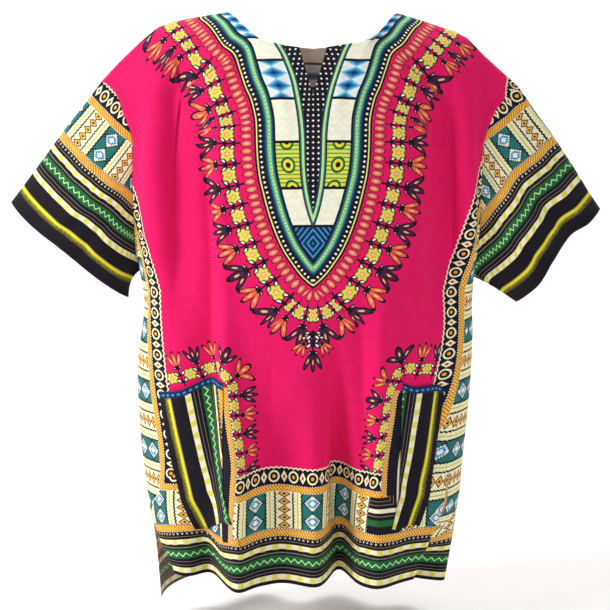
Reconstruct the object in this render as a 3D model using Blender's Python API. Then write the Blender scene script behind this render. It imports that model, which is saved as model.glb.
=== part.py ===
"""A short-sleeved dashiki shirt, filled out as if worn, with no wearer in it.

Metres, +Z up. The front faces -Y and +X is the right of a viewer who faces it. The origin is on
the centre plane, at the height of the neck ends of the shoulder seams, so all the cloth hangs
below z = 0. Every height is given as a drop below that point. The cloth goes round a figure in
closed rings: the front and the back are the two parts of each ring, cut at the side seams, and
above the underarms the ring is also open at the armholes, where the sleeves join.
"""

import math

import bpy
import numpy as np

# Driving dimensions
WALL = 0.0015           # cloth wall as modelled; the real cotton is about 0.35 mm
SEAM_GAP = 0.0003       # between two pieces where they are sewn edge to edge
POCKET_GAP = 0.0003     # between a pocket and the front under it
SHOULDER_DROP = 0.086   # of the left end of the shoulder seam
VENT_DROP = 0.655       # where the side seam ends and the vent opens
FRONT_HEM_DROP = 0.7607
ROUND_DROP = 0.17       # height over which the cloth rounds off the shoulder
ROUND_POWER = 0.56
FINE = 97               # points that measure the length round a ring

# Rings round the body: the depth in front and behind, and the power that rounds the corners.
RING_COLUMNS = ("drop", "front", "back", "power")
RINGS = (
    (0.000, 0.090, 0.086, 2.20),
    (0.088, 0.094, 0.092, 2.20),
    (0.125, 0.099, 0.097, 2.20),
    (0.153, 0.103, 0.100, 2.20),
    (0.200, 0.108, 0.103, 2.25),
    (0.260, 0.113, 0.104, 2.25),
    (0.300, 0.116, 0.103, 2.25),
    (0.351, 0.117, 0.100, 2.25),
    (0.400, 0.116, 0.098, 2.20),
    (0.430, 0.115, 0.097, 2.15),
    (0.464, 0.113, 0.095, 2.15),
    (0.510, 0.110, 0.093, 2.10),
    (0.560, 0.106, 0.094, 2.10),
    (0.610, 0.103, 0.096, 2.10),
    (0.660, 0.104, 0.098, 2.10),
    (0.700, 0.107, 0.101, 2.10),
    (0.761, 0.114, 0.105, 2.10),
    (0.830, 0.118, 0.108, 2.10),
)

# The two sides of each ring. "reach" is x at the ring's end, which is open air in the armholes.
# "seam" is the angle there of the side seam: 0 is the right end, 90 the front, 180 the left end.
# "front" and "back" are the angles by which each piece stops short of that seam's line, at the
# armhole above it and at the vent below it.
SIDE_COLUMNS = ("drop", "reach", "seam", "front", "back")
LEFT_SIDE = (
    (0.000, -0.276, 180, 0, 0),
    (0.086, -0.276, 180, 0, 0),
    (0.094, -0.302, 180, 28, 28),
    (0.104, -0.312, 180, 35, 35),
    (0.119, -0.308, 180, 37, 37),
    (0.139, -0.286, 180, 33, 34),
    (0.167, -0.267, 180, 30, 31),
    (0.200, -0.259, 180, 26, 28),
    (0.236, -0.253, 180, 22, 24),
    (0.274, -0.247, 180, 17, 18),
    (0.312, -0.242, 180, 10, 10),
    (0.345, -0.237, 180, 0, 0),
    (0.400, -0.230, 184, 0, 0),
    (0.430, -0.234, 184, 0, 0),
    (0.464, -0.241, 184, 0, 0),
    (0.510, -0.244, 183, 0, 0),
    (0.560, -0.243, 183, 0, 0),
    (0.610, -0.240, 182, 0, 0),
    (0.655, -0.235, 180, 0, 0),
    (0.680, -0.232, 180, 6, 0),
    (0.710, -0.228, 180, 17, 0),
    (0.761, -0.223, 180, 33, 0),
    (0.830, -0.219, 180, 40, 0),
)
RIGHT_SIDE = (
    (0.000, 0.272, 0, 0, 0),
    (0.095, 0.272, 0, 0, 0),
    (0.103, 0.296, 0, 28, 28),
    (0.113, 0.304, 0, 35, 35),
    (0.128, 0.296, 0, 37, 37),
    (0.148, 0.272, 0, 33, 34),
    (0.176, 0.254, 0, 30, 31),
    (0.208, 0.245, 0, 26, 28),
    (0.244, 0.238, 0, 22, 24),
    (0.280, 0.232, 0, 17, 18),
    (0.318, 0.226, 2, 10, 10),
    (0.349, 0.221, 8, 0, 0),
    (0.400, 0.220, 17, 0, 0),
    (0.450, 0.222, 23, 0, 0),
    (0.510, 0.221, 26, 0, 0),
    (0.560, 0.218, 27, 0, 0),
    (0.610, 0.214, 28, 0, 0),
    (0.655, 0.211, 30, 0, 0),
    (0.680, 0.209, 30, 3, 0),
    (0.710, 0.206, 30, 8, 0),
    (0.761, 0.198, 30, 15, 0),
    (0.830, 0.186, 30, 18, 0),
)

# The shoulder line, carried on over the neck where there is no cloth.
SHOULDER_COLUMNS = ("x", "z")
SHOULDER = (
    (-0.276, -0.086), (-0.248, -0.058), (-0.225, -0.037), (-0.203, -0.019), (-0.182, -0.012),
    (-0.156, -0.007), (-0.113, 0.000), (-0.070, 0.012), (0.000, 0.020), (0.070, 0.011),
    (0.111, -0.001), (0.148, -0.012), (0.188, -0.025), (0.202, -0.032), (0.222, -0.052),
    (0.246, -0.073), (0.272, -0.095),
)
NECK_LEFT = -0.113
NECK_RIGHT = 0.111
FRONT_NECK = (
    (-0.113, 0.000), (-0.101, -0.006), (-0.087, -0.019), (-0.065, -0.037), (-0.036, -0.0455),
    (-0.016, -0.0485), (0.015, -0.0485), (0.041, -0.044), (0.071, -0.038), (0.088, -0.021), (0.102, -0.007), (0.111, -0.001),
)
SLIT_HALF = 0.016       # half the width of the open slit at the neck edge
SLIT_DEPTH = 0.059
SLIT_FADE = 0.150       # over which the rows of points under the slit level out
BACK_NECK = (
    (-0.113, 0.000), (-0.098, -0.015), (-0.078, -0.029), (-0.050, -0.039), (0.000, -0.044),
    (0.048, -0.040), (0.076, -0.030), (0.097, -0.016), (0.111, -0.001),
)

# Standing folds: each moves the cloth along y as it comes down, by "push" where it is fullest.
FOLD_COLUMNS = ("x_high", "x_low", "start", "full", "hold", "end", "left", "right", "push")
FRONT_FOLDS = (
    (-0.168, -0.176, 0.03, 0.13, 0.30, 0.44, 0.016, 0.020, 0.017),
    (-0.208, -0.212, 0.06, 0.16, 0.26, 0.40, 0.014, 0.014, -0.007),
    (0.152, 0.166, 0.04, 0.15, 0.30, 0.46, 0.018, 0.016, 0.014),
    (-0.112, -0.100, 0.38, 0.60, 0.90, 1.00, 0.020, 0.018, -0.021),
    (-0.012, -0.040, 0.44, 0.62, 0.90, 1.00, 0.030, 0.034, 0.019),
    (0.020, 0.037, 0.36, 0.76, 0.90, 1.00, 0.018, 0.019, 0.061),
    (0.066, 0.090, 0.42, 0.62, 0.90, 1.00, 0.018, 0.024, -0.012),
    (-0.150, -0.142, 0.62, 0.76, 0.90, 1.00, 0.022, 0.020, 0.032),
    (0.176, 0.170, 0.40, 0.52, 0.58, 0.68, 0.012, 0.012, 0.007),
)
BACK_FOLDS = (
    (-0.110, -0.135, 0.10, 0.40, 0.90, 1.00, 0.022, 0.028, -0.017),
    (-0.060, -0.078, 0.30, 0.66, 0.90, 1.00, 0.020, 0.022, 0.013),
    (-0.012, -0.020, 0.22, 0.60, 0.90, 1.00, 0.018, 0.030, -0.022),
    (0.046, 0.040, 0.36, 0.70, 0.90, 1.00, 0.020, 0.020, 0.012),
    (0.088, 0.098, 0.12, 0.56, 0.90, 1.00, 0.026, 0.020, -0.018),
    (0.140, 0.144, 0.40, 0.72, 0.90, 1.00, 0.018, 0.018, 0.009),
)

# The threads of the front lean and sag at the pockets' corners: each row moves the cloth round
# one corner, across by a share of its width and up by a height.
NUDGE_COLUMNS = ("share", "drop", "reach", "above", "below", "shift", "lift")
NUDGES = (
    (0.145, 0.490, 0.130, 0.140, 0.140, 0.004, -0.004),
    (0.380, 0.480, 0.160, 0.140, 0.140, -0.002, 0.026),
    (0.145, 0.694, 0.130, 0.300, 0.066, 0.052, 0.000),
    (0.370, 0.690, 0.150, 0.180, 0.066, -0.030, 0.026),
    (0.790, 0.480, 0.140, 0.140, 0.140, 0.000, 0.020),
    (0.920, 0.480, 0.080, 0.140, 0.140, 0.012, 0.022),
    (0.790, 0.694, 0.140, 0.200, 0.066, 0.024, 0.015),
    (0.920, 0.694, 0.080, 0.200, 0.066, 0.002, 0.015),
)

# The back hem hangs lower than the front's and rises to the right.
BACK_HEM_LEFT = 0.825
BACK_HEM_RIGHT = 0.794
BACK_TUCK = (-0.050, 0.058)   # x and y that the back's right vent edge moves in by at the hem

# Heights of the rows of points, as drops measured along the armhole and side edges
EDGE_ROWS = (
    0.086, 0.094, 0.104, 0.119, 0.139, 0.167, 0.200, 0.236, 0.274, 0.312, 0.345,
    0.367, 0.389, 0.411, 0.433, 0.455, 0.477, 0.499, 0.520, 0.546, 0.573, 0.600, 0.628, 0.655,
    0.677, 0.700, 0.720, 0.740, 0.7607,
)
ARMHOLE_ROWS = 10
SIDE_ROWS = 23
SHOULDER_STEPS = 10
FRONT_NECK_X = (
    -0.102, -0.090, -0.077, -0.064, -0.050, -0.036, -0.026, -0.016,
    -0.0128, -0.0096, -0.0064, -0.0032, 0.0, 0.0032, 0.0064, 0.0096, 0.0128, 0.016, 0.026, 0.036, 0.050, 0.064, 0.077, 0.090, 0.101,
)
BACK_NECK_X = (-0.098, -0.080, -0.062, -0.042, -0.021, 0.0, 0.021, 0.042, 0.061, 0.079, 0.096)

# Sleeves: the cuff's top and bottom ends, its depth each side, and the pull of its wavy edge.
# "out" moves a point of the cuff along the sleeve and "deep" scales its depth.
CUFF_COLUMNS = ("round", "out", "deep")
SLEEVES = {
    "sleeve_left": {
        "top": (-0.411, 0.004, -0.251), "low": (-0.2535, -0.004, -0.3815),
        "front": 0.040, "back": 0.036, "puff": 0.010, "clear": -0.006,
        "cuff": ((0.0, 0.0, 1.0), (0.12, 0.001, 1.0), (0.25, -0.002, 1.05), (0.38, 0.001, 0.9),
                 (0.5, 0.0, 1.0), (0.62, -0.004, 0.8), (0.75, 0.003, 1.15), (0.88, -0.002, 0.9),
                 (1.0, 0.0, 1.0)),
    },
    "sleeve_right": {
        "top": (0.393, 0.004, -0.260), "low": (0.281, -0.004, -0.388),
        "front": 0.038, "back": 0.040, "puff": 0.012, "clear": 0.004,
        "cuff": ((0.0, 0.0, 1.0), (0.10, -0.004, 1.0), (0.19, -0.013, 0.75), (0.28, -0.008, 0.9),
                 (0.38, -0.001, 1.2), (0.5, 0.0, 1.0), (0.62, -0.006, 1.1), (0.75, 0.004, 0.85),
                 (0.88, -0.003, 1.1), (1.0, 0.0, 1.0)),
    },
}
SLEEVE_STEPS = 9

# Pockets: the block of the front's own columns and rows that each one covers
POCKETS = {"pocket_left": (5, 13, 18, 25), "pocket_right": (40, 44, 18, 25)}

CLOTH = {
    "front": (0.78, 0.02, 0.18), "back": (0.74, 0.03, 0.17),
    "sleeve_left": (0.62, 0.30, 0.06), "sleeve_right": (0.60, 0.28, 0.07),
    "pocket_left": (0.05, 0.05, 0.07), "pocket_right": (0.06, 0.09, 0.06),
}


def column(names, rows, name):
    return np.array([row[names.index(name)] for row in rows], dtype=float)


def smooth(knots, values, at):
    """A curve through the knots that never overshoots them."""
    step = np.diff(knots)
    slope = np.diff(values) / step
    tangent = np.concatenate(([slope[0]], np.zeros(len(slope) - 1), [slope[-1]]))
    same = slope[:-1] * slope[1:] > 0
    total = np.where(same, slope[:-1] + slope[1:], 1.0)
    tangent[1:-1] = np.where(same, 2 * slope[:-1] * slope[1:] / total, 0.0)
    at = np.clip(at, knots[0], knots[-1])
    cell = np.clip(np.searchsorted(knots, at, side="right") - 1, 0, len(step) - 1)
    t = (at - knots[cell]) / step[cell]
    rise = (2 * t**3 - 3 * t**2 + 1) * values[cell] + (3 * t**2 - 2 * t**3) * values[cell + 1]
    lean = (t**3 - 2 * t**2 + t) * tangent[cell] + (t**3 - t**2) * tangent[cell + 1]
    return rise + lean * step[cell]


def table(names, rows, name, at):
    return smooth(column(names, rows, names[0]), column(names, rows, name), at)


def ease(low, high, at):
    t = np.clip((at - low) / (high - low), 0.0, 1.0)
    return t * t * (3 - 2 * t)


def ring_point(drop, sides, share, squash, piece):
    """The x and y of the point at this share of the length of a piece round each ring. The ring
    tilts between "sides", the drops of its left and right ends."""
    front, back, power = (
        table(RING_COLUMNS, RINGS, name, drop)[:, None] for name in RING_COLUMNS[1:]
    )
    left, left_seam, left_open = (
        table(SIDE_COLUMNS, LEFT_SIDE, name, sides[0])[:, None] for name in ("reach", "seam", piece)
    )
    right, right_seam, right_open = (
        table(SIDE_COLUMNS, RIGHT_SIDE, name, sides[1])[:, None] for name in ("reach", "seam", piece)
    )
    if piece == "front":
        start = left_seam - left_open
        stop = right_seam + right_open
    else:
        start = left_seam + left_open
        stop = 360 + right_seam - right_open
    angle = np.radians(start + (stop - start) * np.linspace(0.0, 1.0, FINE)[None, :])
    across = np.cos(angle)
    ahead = np.sin(angle)
    depth = np.where(ahead > 0, front, back) * squash[:, None]
    x = (left + right) / 2 + (right - left) / 2 * np.sign(across) * abs(across) ** (2 / power)
    y = -depth * np.sign(ahead) * abs(ahead) ** (2 / power)
    length = np.hypot(np.diff(x, axis=1), np.diff(y, axis=1)).cumsum(axis=1)
    length = np.concatenate((np.zeros((len(length), 1)), length), axis=1)
    found = [
        (np.interp(part * far[-1], far, xs), np.interp(part * far[-1], far, ys))
        for part, far, xs, ys in zip(share, length, x, y)
    ]
    return np.array(found)


def folds(piece, x, drop, share):
    """How far the standing folds move the cloth along y."""
    rows = FRONT_FOLDS if piece == "front" else BACK_FOLDS
    push = np.zeros_like(x)
    for x_high, x_low, start, full, hold, end, left, right, most in rows:
        centre = x_high + (x_low - x_high) * ease(start, full, drop)
        width = np.where(x < centre, left, right)
        grown = ease(start, full, drop) * (1 - ease(hold, end, drop))
        push += most * grown * np.exp(-(((x - centre) / width) ** 2))
    free = ease(VENT_DROP, FRONT_HEM_DROP, drop)
    side = ease(0.0, 0.07, share) * ease(0.0, 0.07, 1 - share)
    return push * (side + (1 - side) * free)


def fall(piece, share, top, edge_drop):
    """The z of a point that hangs from "top", for a drop measured along the side edge."""
    scale = (top + FRONT_HEM_DROP) / (FRONT_HEM_DROP - SHOULDER_DROP)
    z = top - (edge_drop - SHOULDER_DROP) * scale
    if piece == "front":
        return z
    at_vent = top - (VENT_DROP - SHOULDER_DROP) * scale
    hem = -(BACK_HEM_LEFT + (BACK_HEM_RIGHT - BACK_HEM_LEFT) * share)
    past = np.clip((edge_drop - VENT_DROP) / (FRONT_HEM_DROP - VENT_DROP), 0.0, 1.0)
    return np.where(past > 0, at_vent + (hem - at_vent) * past, z)


def panel_point(piece, share, edge_drop):
    """Points of the front or the back at a share of its width and a drop along its side edge."""
    x_top = LEFT_SIDE[0][1] + (RIGHT_SIDE[0][1] - LEFT_SIDE[0][1]) * share
    roof = np.interp(x_top, column(SHOULDER_COLUMNS, SHOULDER, "x"),
                     column(SHOULDER_COLUMNS, SHOULDER, "z"))
    neck = FRONT_NECK if piece == "front" else BACK_NECK
    open_top = np.interp(x_top, [row[0] for row in neck], [row[1] for row in neck])
    inside = (x_top > NECK_LEFT) & (x_top < NECK_RIGHT)
    z = fall(piece, share, np.where(inside, open_top, roof), edge_drop)
    if piece == "front":
        slit = SLIT_DEPTH * np.clip(1 - abs(x_top) / SLIT_HALF, 0.0, 1.0)
        z = z - slit * np.clip(1 - (edge_drop - SHOULDER_DROP) / SLIT_FADE, 0.0, 1.0) ** 2
    sides = (
        -fall(piece, 0.0, np.full_like(share, SHOULDER[0][1]), edge_drop),
        -fall(piece, 1.0, np.full_like(share, SHOULDER[-1][1]), edge_drop),
    )
    drop = -z
    width = share
    for at, level, reach, above, below, shift, lift in NUDGES if piece == "front" else ():
        far = np.where(drop < level, (level - drop) / above, (drop - level) / below)
        near = (1 - ease(0.0, reach, abs(width - at))) * (1 - ease(0.0, 1.0, far))
        share = share + shift * near
        z = z + lift * near
    level = np.clip((roof - z) / ROUND_DROP, 0.0, 1.0)
    squash = np.sin(level * math.pi / 2) ** ROUND_POWER
    flat = ring_point(-z, sides, share, squash, piece)
    x = flat[:, 0]
    y = flat[:, 1] + folds(piece, x, -z, share)
    if piece == "back":
        tuck = ease(VENT_DROP, BACK_HEM_RIGHT, -z) * ease(0.88, 1.0, share)
        x = x + BACK_TUCK[0] * tuck
        y = y + BACK_TUCK[1] * tuck
    return np.stack((x, y, z), axis=-1)


def panel_grid(piece):
    left = LEFT_SIDE[0][1]
    right = RIGHT_SIDE[0][1]
    neck = FRONT_NECK_X if piece == "front" else BACK_NECK_X
    x_top = np.concatenate((
        np.linspace(left, NECK_LEFT, SHOULDER_STEPS + 1), neck,
        np.linspace(NECK_RIGHT, right, SHOULDER_STEPS + 1),
    ))
    share = (x_top - left) / (right - left)
    rows = [panel_point(piece, share, np.full_like(share, drop)) for drop in EDGE_ROWS]
    return np.array(rows)


def sleeve_grid(name, front, back):
    """Rings from the armhole's own edge points to the cuff, closed round the arm."""
    shape = SLEEVES[name]
    side = 0 if name == "sleeve_left" else -1
    armhole = np.concatenate((
        front[:ARMHOLE_ROWS + 1, side], back[ARMHOLE_ROWS - 1:0:-1, side],
    ))
    top = np.array(shape["top"])
    low = np.array(shape["low"])
    far = np.linalg.norm(np.diff(np.concatenate((armhole, armhole[:1])), axis=0), axis=1)
    half = far[:ARMHOLE_ROWS].sum()
    walk = np.concatenate(([0.0], far.cumsum()[:-1]))
    turn = np.where(walk <= half, 0.5 * walk / half, 0.5 + 0.5 * (walk - half) / far[ARMHOLE_ROWS:].sum())
    out = table(CUFF_COLUMNS, shape["cuff"], "out", turn)
    deep = table(CUFF_COLUMNS, shape["cuff"], "deep", turn)
    down = (1 - np.cos(turn * 2 * math.pi)) / 2
    wave = np.sin(turn * 2 * math.pi)
    down = 0.45 * down + 0.55 * np.where(turn < 0.5, turn * 2, 2 - turn * 2)
    axis = (top + low) / 2 - (armhole[0] + armhole[ARMHOLE_ROWS]) / 2
    axis = axis / np.linalg.norm(axis)
    cuff = top + (low - top) * down[:, None] + axis * out[:, None]
    width = np.where(wave > 0, shape["front"], shape["back"]) * deep
    cuff[:, 1] -= np.sign(wave) * abs(wave) ** 0.8 * width
    rings = []
    for step in range(SLEEVE_STEPS + 1):
        along = step / SLEEVE_STEPS
        ring = armhole + (cuff - armhole) * along
        ring[:, 1] -= wave * shape["puff"] * math.sin(math.pi * along)
        ring[:, 0] += shape["clear"] * down**3 * math.sin(math.pi * along**0.7)
        rings.append(ring)
    return np.array(rings)


def directions(grid, axis, closed):
    """At each point, the mean of the unit steps before and after it."""
    step = np.roll(grid, -1, axis=axis) - grid
    step = step / np.linalg.norm(step, axis=2, keepdims=True)
    if closed:
        return step + np.roll(step, 1, axis=axis)
    step = np.moveaxis(step, axis, 0)[:-1]
    ends = np.concatenate((step[:1], step, step[-1:]))
    return np.moveaxis(ends[:-1] + ends[1:], 0, axis)


def skin_normals(grid, closed, turned):
    """Unit normals that point away from the wearer."""
    down = directions(grid, 0, False)
    over = directions(grid, 1, closed)
    steep = abs(over[..., 2]) > 1.5 * np.hypot(over[..., 0], over[..., 1])
    if not closed:
        over = np.where(steep[..., None], np.array((1.0, 0.0, 0.0)), over)
    normal = np.cross(over, down) if turned else np.cross(down, over)
    return normal / np.linalg.norm(normal, axis=2, keepdims=True)


def share_normals(skins):
    """Where two sewn pieces run on smoothly, their walls end on one plane, so they share a
    normal. Where they meet in a sharp crease each keeps its own, and the sleeve stands off."""
    met = {}
    for skin in skins.values():
        skin["lift"] = np.zeros_like(skin["grid"])
        for index in np.ndindex(skin["seam"].shape):
            if skin["seam"][index]:
                key = tuple(np.round(skin["grid"][index], 6) + 0.0)
                met.setdefault(key, []).append((skin, index, skin["normal"][index].copy()))
    for places in met.values():
        for skin, index, own in places:
            total = own.copy()
            for other_skin, other_index, other in places:
                alike = ease(0.1, 0.6, np.array(own.dot(other)))
                if not (skin["closed"] or other_skin["closed"]):
                    alike = 1.0
                if other_skin is not skin:
                    total += other * alike
                    skin["lift"][index] += other * (1 - alike) * SEAM_GAP * 0.6
            skin["normal"][index] = total / np.linalg.norm(total)


def seam_moves(skin, top, left, right):
    """Half the seam gap, into the piece, for each point of its sewn edges."""
    grid = skin["grid"]
    move = np.zeros_like(grid)

    def pull(index, inner, before, after):
        normal = skin["normal"][index]
        tangent = grid[after] - grid[before]
        way = grid[inner] - grid[index]
        tangent = tangent / np.linalg.norm(tangent)
        way = way - normal * way.dot(normal)
        way = way - tangent * way.dot(tangent)
        move[index] += way / np.linalg.norm(way) * SEAM_GAP / 2

    rows, cols = grid.shape[:2]
    for j in top:
        before = (j - 1) % cols if skin["closed"] else max(j - 1, 0)
        after = (j + 1) % cols if skin["closed"] else min(j + 1, cols - 1)
        pull((0, j), (1, j), (0, before), (0, after))
    for i in left:
        pull((i, 0), (i, 1), (max(i - 1, 0), 0), (i + 1, 0))
    for i in right:
        pull((i, cols - 1), (i, cols - 2), (max(i - 1, 0), cols - 1), (i + 1, cols - 1))
    return move


def short_cuts(grid):
    """For each quad, whether the diagonal from its top left to its bottom right is the shorter."""
    right = np.roll(grid, -1, axis=1)
    falling = np.linalg.norm(right[1:] - grid[:-1], axis=2)
    rising = np.linalg.norm(right[:-1] - grid[1:], axis=2)
    return falling <= rising


def build(name, outer, inner, closed, turned, cuts):
    """A closed solid from the two skins of one piece. "cuts" says how each quad is halved."""
    rows, cols = outer.shape[:2]
    points = np.concatenate((outer.reshape(-1, 3), inner.reshape(-1, 3)))
    back = rows * cols
    faces = []
    for i in range(rows - 1):
        for j in range(cols if closed else cols - 1):
            a, b = i * cols + j, i * cols + (j + 1) % cols
            c, d = a + cols, b + cols
            pair = [(a, c, d), (a, d, b)] if cuts[i, j] else [(a, c, b), (b, c, d)]
            faces += pair
            faces += [(r + back, q + back, p + back) for p, q, r in pair]
    rim = [(j, (j + 1) % cols) for j in range(cols if closed else cols - 1)]
    low = [((rows - 1) * cols + q, (rows - 1) * cols + p) for p, q in rim]
    sides = [] if closed else [((i + 1) * cols, i * cols) for i in range(rows - 1)]
    sides += [] if closed else [(i * cols + cols - 1, (i + 1) * cols + cols - 1) for i in range(rows - 1)]
    for p, q in rim + low + sides:
        faces += [(p, q, p + back), (q, q + back, p + back)]
    if turned:
        faces = [face[::-1] for face in faces]
    mesh = bpy.data.meshes.new(name)
    mesh.from_pydata(points.tolist(), [], faces)
    mesh.update()
    cloth = bpy.data.objects.new(name, mesh)
    bpy.context.scene.collection.objects.link(cloth)
    material = bpy.data.materials.new(name + "_cotton")
    material.use_nodes = True
    shader = material.node_tree.nodes["Principled BSDF"]
    shader.inputs["Base Color"].default_value = (*CLOTH[name], 1.0)
    shader.inputs["Roughness"].default_value = 0.85
    shader.inputs["Metallic"].default_value = 0.0
    material.diffuse_color = (*CLOTH[name], 1.0)
    mesh.materials.append(material)
    return cloth


for old in list(bpy.data.objects):
    bpy.data.objects.remove(old, do_unlink=True)

front_grid = panel_grid("front")
back_grid = panel_grid("back")
skins = {
    "front": {"grid": front_grid, "closed": False, "turned": False},
    "back": {"grid": back_grid, "closed": False, "turned": True},
    "sleeve_left": {"grid": sleeve_grid("sleeve_left", front_grid, back_grid),
                    "closed": True, "turned": False},
    "sleeve_right": {"grid": sleeve_grid("sleeve_right", front_grid, back_grid),
                     "closed": True, "turned": True},
}
for name, skin in skins.items():
    skin["normal"] = skin_normals(skin["grid"], skin["closed"], skin["turned"])
    seam = np.zeros(skin["grid"].shape[:2], dtype=bool)
    cols = seam.shape[1]
    if skin["closed"]:
        sewn = (range(cols), (), ())
    else:
        sewn = (
            list(range(SHOULDER_STEPS + 1)) + list(range(cols - SHOULDER_STEPS - 1, cols)),
            range(SIDE_ROWS + 1), range(SIDE_ROWS + 1),
        )
    seam[0, list(sewn[0])] = True
    seam[list(sewn[1]), 0] = True
    seam[list(sewn[2]), cols - 1] = True
    skin["seam"] = seam
    skin["sewn"] = sewn
share_normals(skins)
for name, skin in skins.items():
    outer = skin["grid"] + seam_moves(skin, *skin["sewn"])
    if skin["closed"]:
        outer += skin["lift"]
    skin["outer"] = outer
    skin["cuts"] = short_cuts(outer)
    inner = outer - skin["normal"] * WALL
    build(name, outer, inner, skin["closed"], skin["turned"], skin["cuts"])
for name, (first, last, high, low) in POCKETS.items():
    ground = skins["front"]["outer"][high:low + 1, first:last + 1]
    normal = skins["front"]["normal"][high:low + 1, first:last + 1]
    under = ground + normal * POCKET_GAP
    cuts = skins["front"]["cuts"][high:low, first:last]
    build(name, under + normal * WALL, under, False, False, cuts)
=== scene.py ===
import math

import bmesh
import bpy
import numpy as np
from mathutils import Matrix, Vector


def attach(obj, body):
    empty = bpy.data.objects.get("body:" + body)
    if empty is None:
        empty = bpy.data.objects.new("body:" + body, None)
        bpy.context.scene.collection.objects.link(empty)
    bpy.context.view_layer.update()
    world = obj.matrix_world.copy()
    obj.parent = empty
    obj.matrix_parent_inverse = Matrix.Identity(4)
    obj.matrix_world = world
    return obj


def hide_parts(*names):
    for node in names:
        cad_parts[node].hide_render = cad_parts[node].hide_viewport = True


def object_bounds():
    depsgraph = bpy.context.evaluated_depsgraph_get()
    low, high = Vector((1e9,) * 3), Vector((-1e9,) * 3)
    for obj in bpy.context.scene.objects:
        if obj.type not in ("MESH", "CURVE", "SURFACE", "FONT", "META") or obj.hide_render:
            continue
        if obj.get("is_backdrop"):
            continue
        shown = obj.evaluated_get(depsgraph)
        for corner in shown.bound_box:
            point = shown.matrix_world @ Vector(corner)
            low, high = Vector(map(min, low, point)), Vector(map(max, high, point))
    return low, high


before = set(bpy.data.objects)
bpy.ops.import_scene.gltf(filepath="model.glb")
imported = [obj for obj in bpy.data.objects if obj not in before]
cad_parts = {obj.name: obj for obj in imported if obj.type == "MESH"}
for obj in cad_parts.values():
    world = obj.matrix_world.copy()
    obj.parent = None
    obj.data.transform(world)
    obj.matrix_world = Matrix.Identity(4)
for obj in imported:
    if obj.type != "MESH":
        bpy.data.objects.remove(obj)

cad_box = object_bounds()

# Camera, studio and light. A 65 mm lens at chest height looks slightly down at the shirt, which
# hangs clear of a pale paper sweep, its shoulders carried by nothing seen. Three large soft panels
# light it, the key from the left, and a fourth lights the paper behind.
view = bpy.data.cameras.new("shirt_camera")
view.lens = 65
view.sensor_width = 36
view.clip_end = 20
camera = bpy.data.objects.new("shirt_camera", view)
bpy.context.scene.collection.objects.link(camera)
camera.location = (-0.0102, -1.5, -0.118)
camera.rotation_euler = (math.radians(90 - 10.4), 0, 0)
bpy.context.scene.camera = camera
bpy.context.scene.view_settings.view_transform = "Standard"

SWEEP_FLOOR = -0.868
SWEEP_FRONT = -2.4
SWEEP_LENGTH = 7.6
SWEEP_WIDTH = 9.0
BEND_FROM = 1.9         # y where the paper starts to turn up
BEND_RUN = 1.6          # length of paper in the bend
BEND_RADIUS = 1.02
sweep_bm = bmesh.new()
bmesh.ops.create_grid(sweep_bm, x_segments=1, y_segments=40, size=0.5)
for vert in sweep_bm.verts:
    run = (vert.co.y + 0.5) * SWEEP_LENGTH + SWEEP_FRONT
    bend = min(max((run - BEND_FROM) / BEND_RUN, 0.0), 1.0) * math.pi / 2
    rise = max(run - BEND_FROM - BEND_RUN, 0.0)
    vert.co = Vector((
        vert.co.x * SWEEP_WIDTH,
        min(run, BEND_FROM) + BEND_RADIUS * math.sin(bend),
        SWEEP_FLOOR + BEND_RADIUS * (1 - math.cos(bend)) + rise,
    ))
sweep_mesh = bpy.data.meshes.new("paper_sweep")
sweep_bm.to_mesh(sweep_mesh)
sweep_bm.free()
sweep_mesh.shade_smooth()
sweep = bpy.data.objects.new("paper_sweep", sweep_mesh)
bpy.context.scene.collection.objects.link(sweep)
paper = bpy.data.materials.new("pale_paper")
paper.use_nodes = True
paper_shader = paper.node_tree.nodes["Principled BSDF"]
paper_shader.inputs["Base Color"].default_value = (0.93, 0.93, 0.93, 1)
paper_shader.inputs["Roughness"].default_value = 0.9
sweep_mesh.materials.append(paper)
sweep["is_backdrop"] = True

for name, place, aim, size, power in (
    ("key_panel", (-2.5, -1.0, 0.85), (0, 0, -0.35), 1.0, 68),
    ("fill_panel", (2.0, -1.6, 0.1), (0, 0, -0.4), 1.5, 11),
    ("back_panel", (0.3, 1.0, 1.9), (0, 0, -0.3), 1.6, 26),
    ("backdrop_panel", (0.0, 1.1, 2.3), (0, 3.0, -0.4), 1.4, 46),
):
    panel = bpy.data.lights.new(name, "AREA")
    panel.size = size
    panel.energy = power
    lamp = bpy.data.objects.new(name, panel)
    bpy.context.scene.collection.objects.link(lamp)
    lamp.location = place
    lamp.rotation_euler = (Vector(aim) - Vector(place)).to_track_quat("-Z", "Y").to_euler()
room = bpy.data.worlds.new("studio_room")
room.use_nodes = True
room.node_tree.nodes["Background"].inputs["Color"].default_value = (1.0, 1.0, 1.0, 1)
room.node_tree.nodes["Background"].inputs["Strength"].default_value = 0.37
bpy.context.scene.world = room

# The front: one length of light wax-printed cotton, about 0.61 m wide, with a round neck and a
# slit cut in it. It is sewn to the back at the shoulders and sides, hemmed, and hangs from the
# shoulders in a few standing folds. The tables give the form that it hangs in.
SHOULDER_DROP = 0.086   # of the left end of the shoulder seam
VENT_DROP = 0.655       # where the side seam ends and the vent opens
FRONT_HEM_DROP = 0.7607
ROUND_DROP = 0.17       # height over which the cloth rounds off the shoulder
ROUND_POWER = 0.56
FINE = 97               # points that measure the length round a ring

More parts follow.
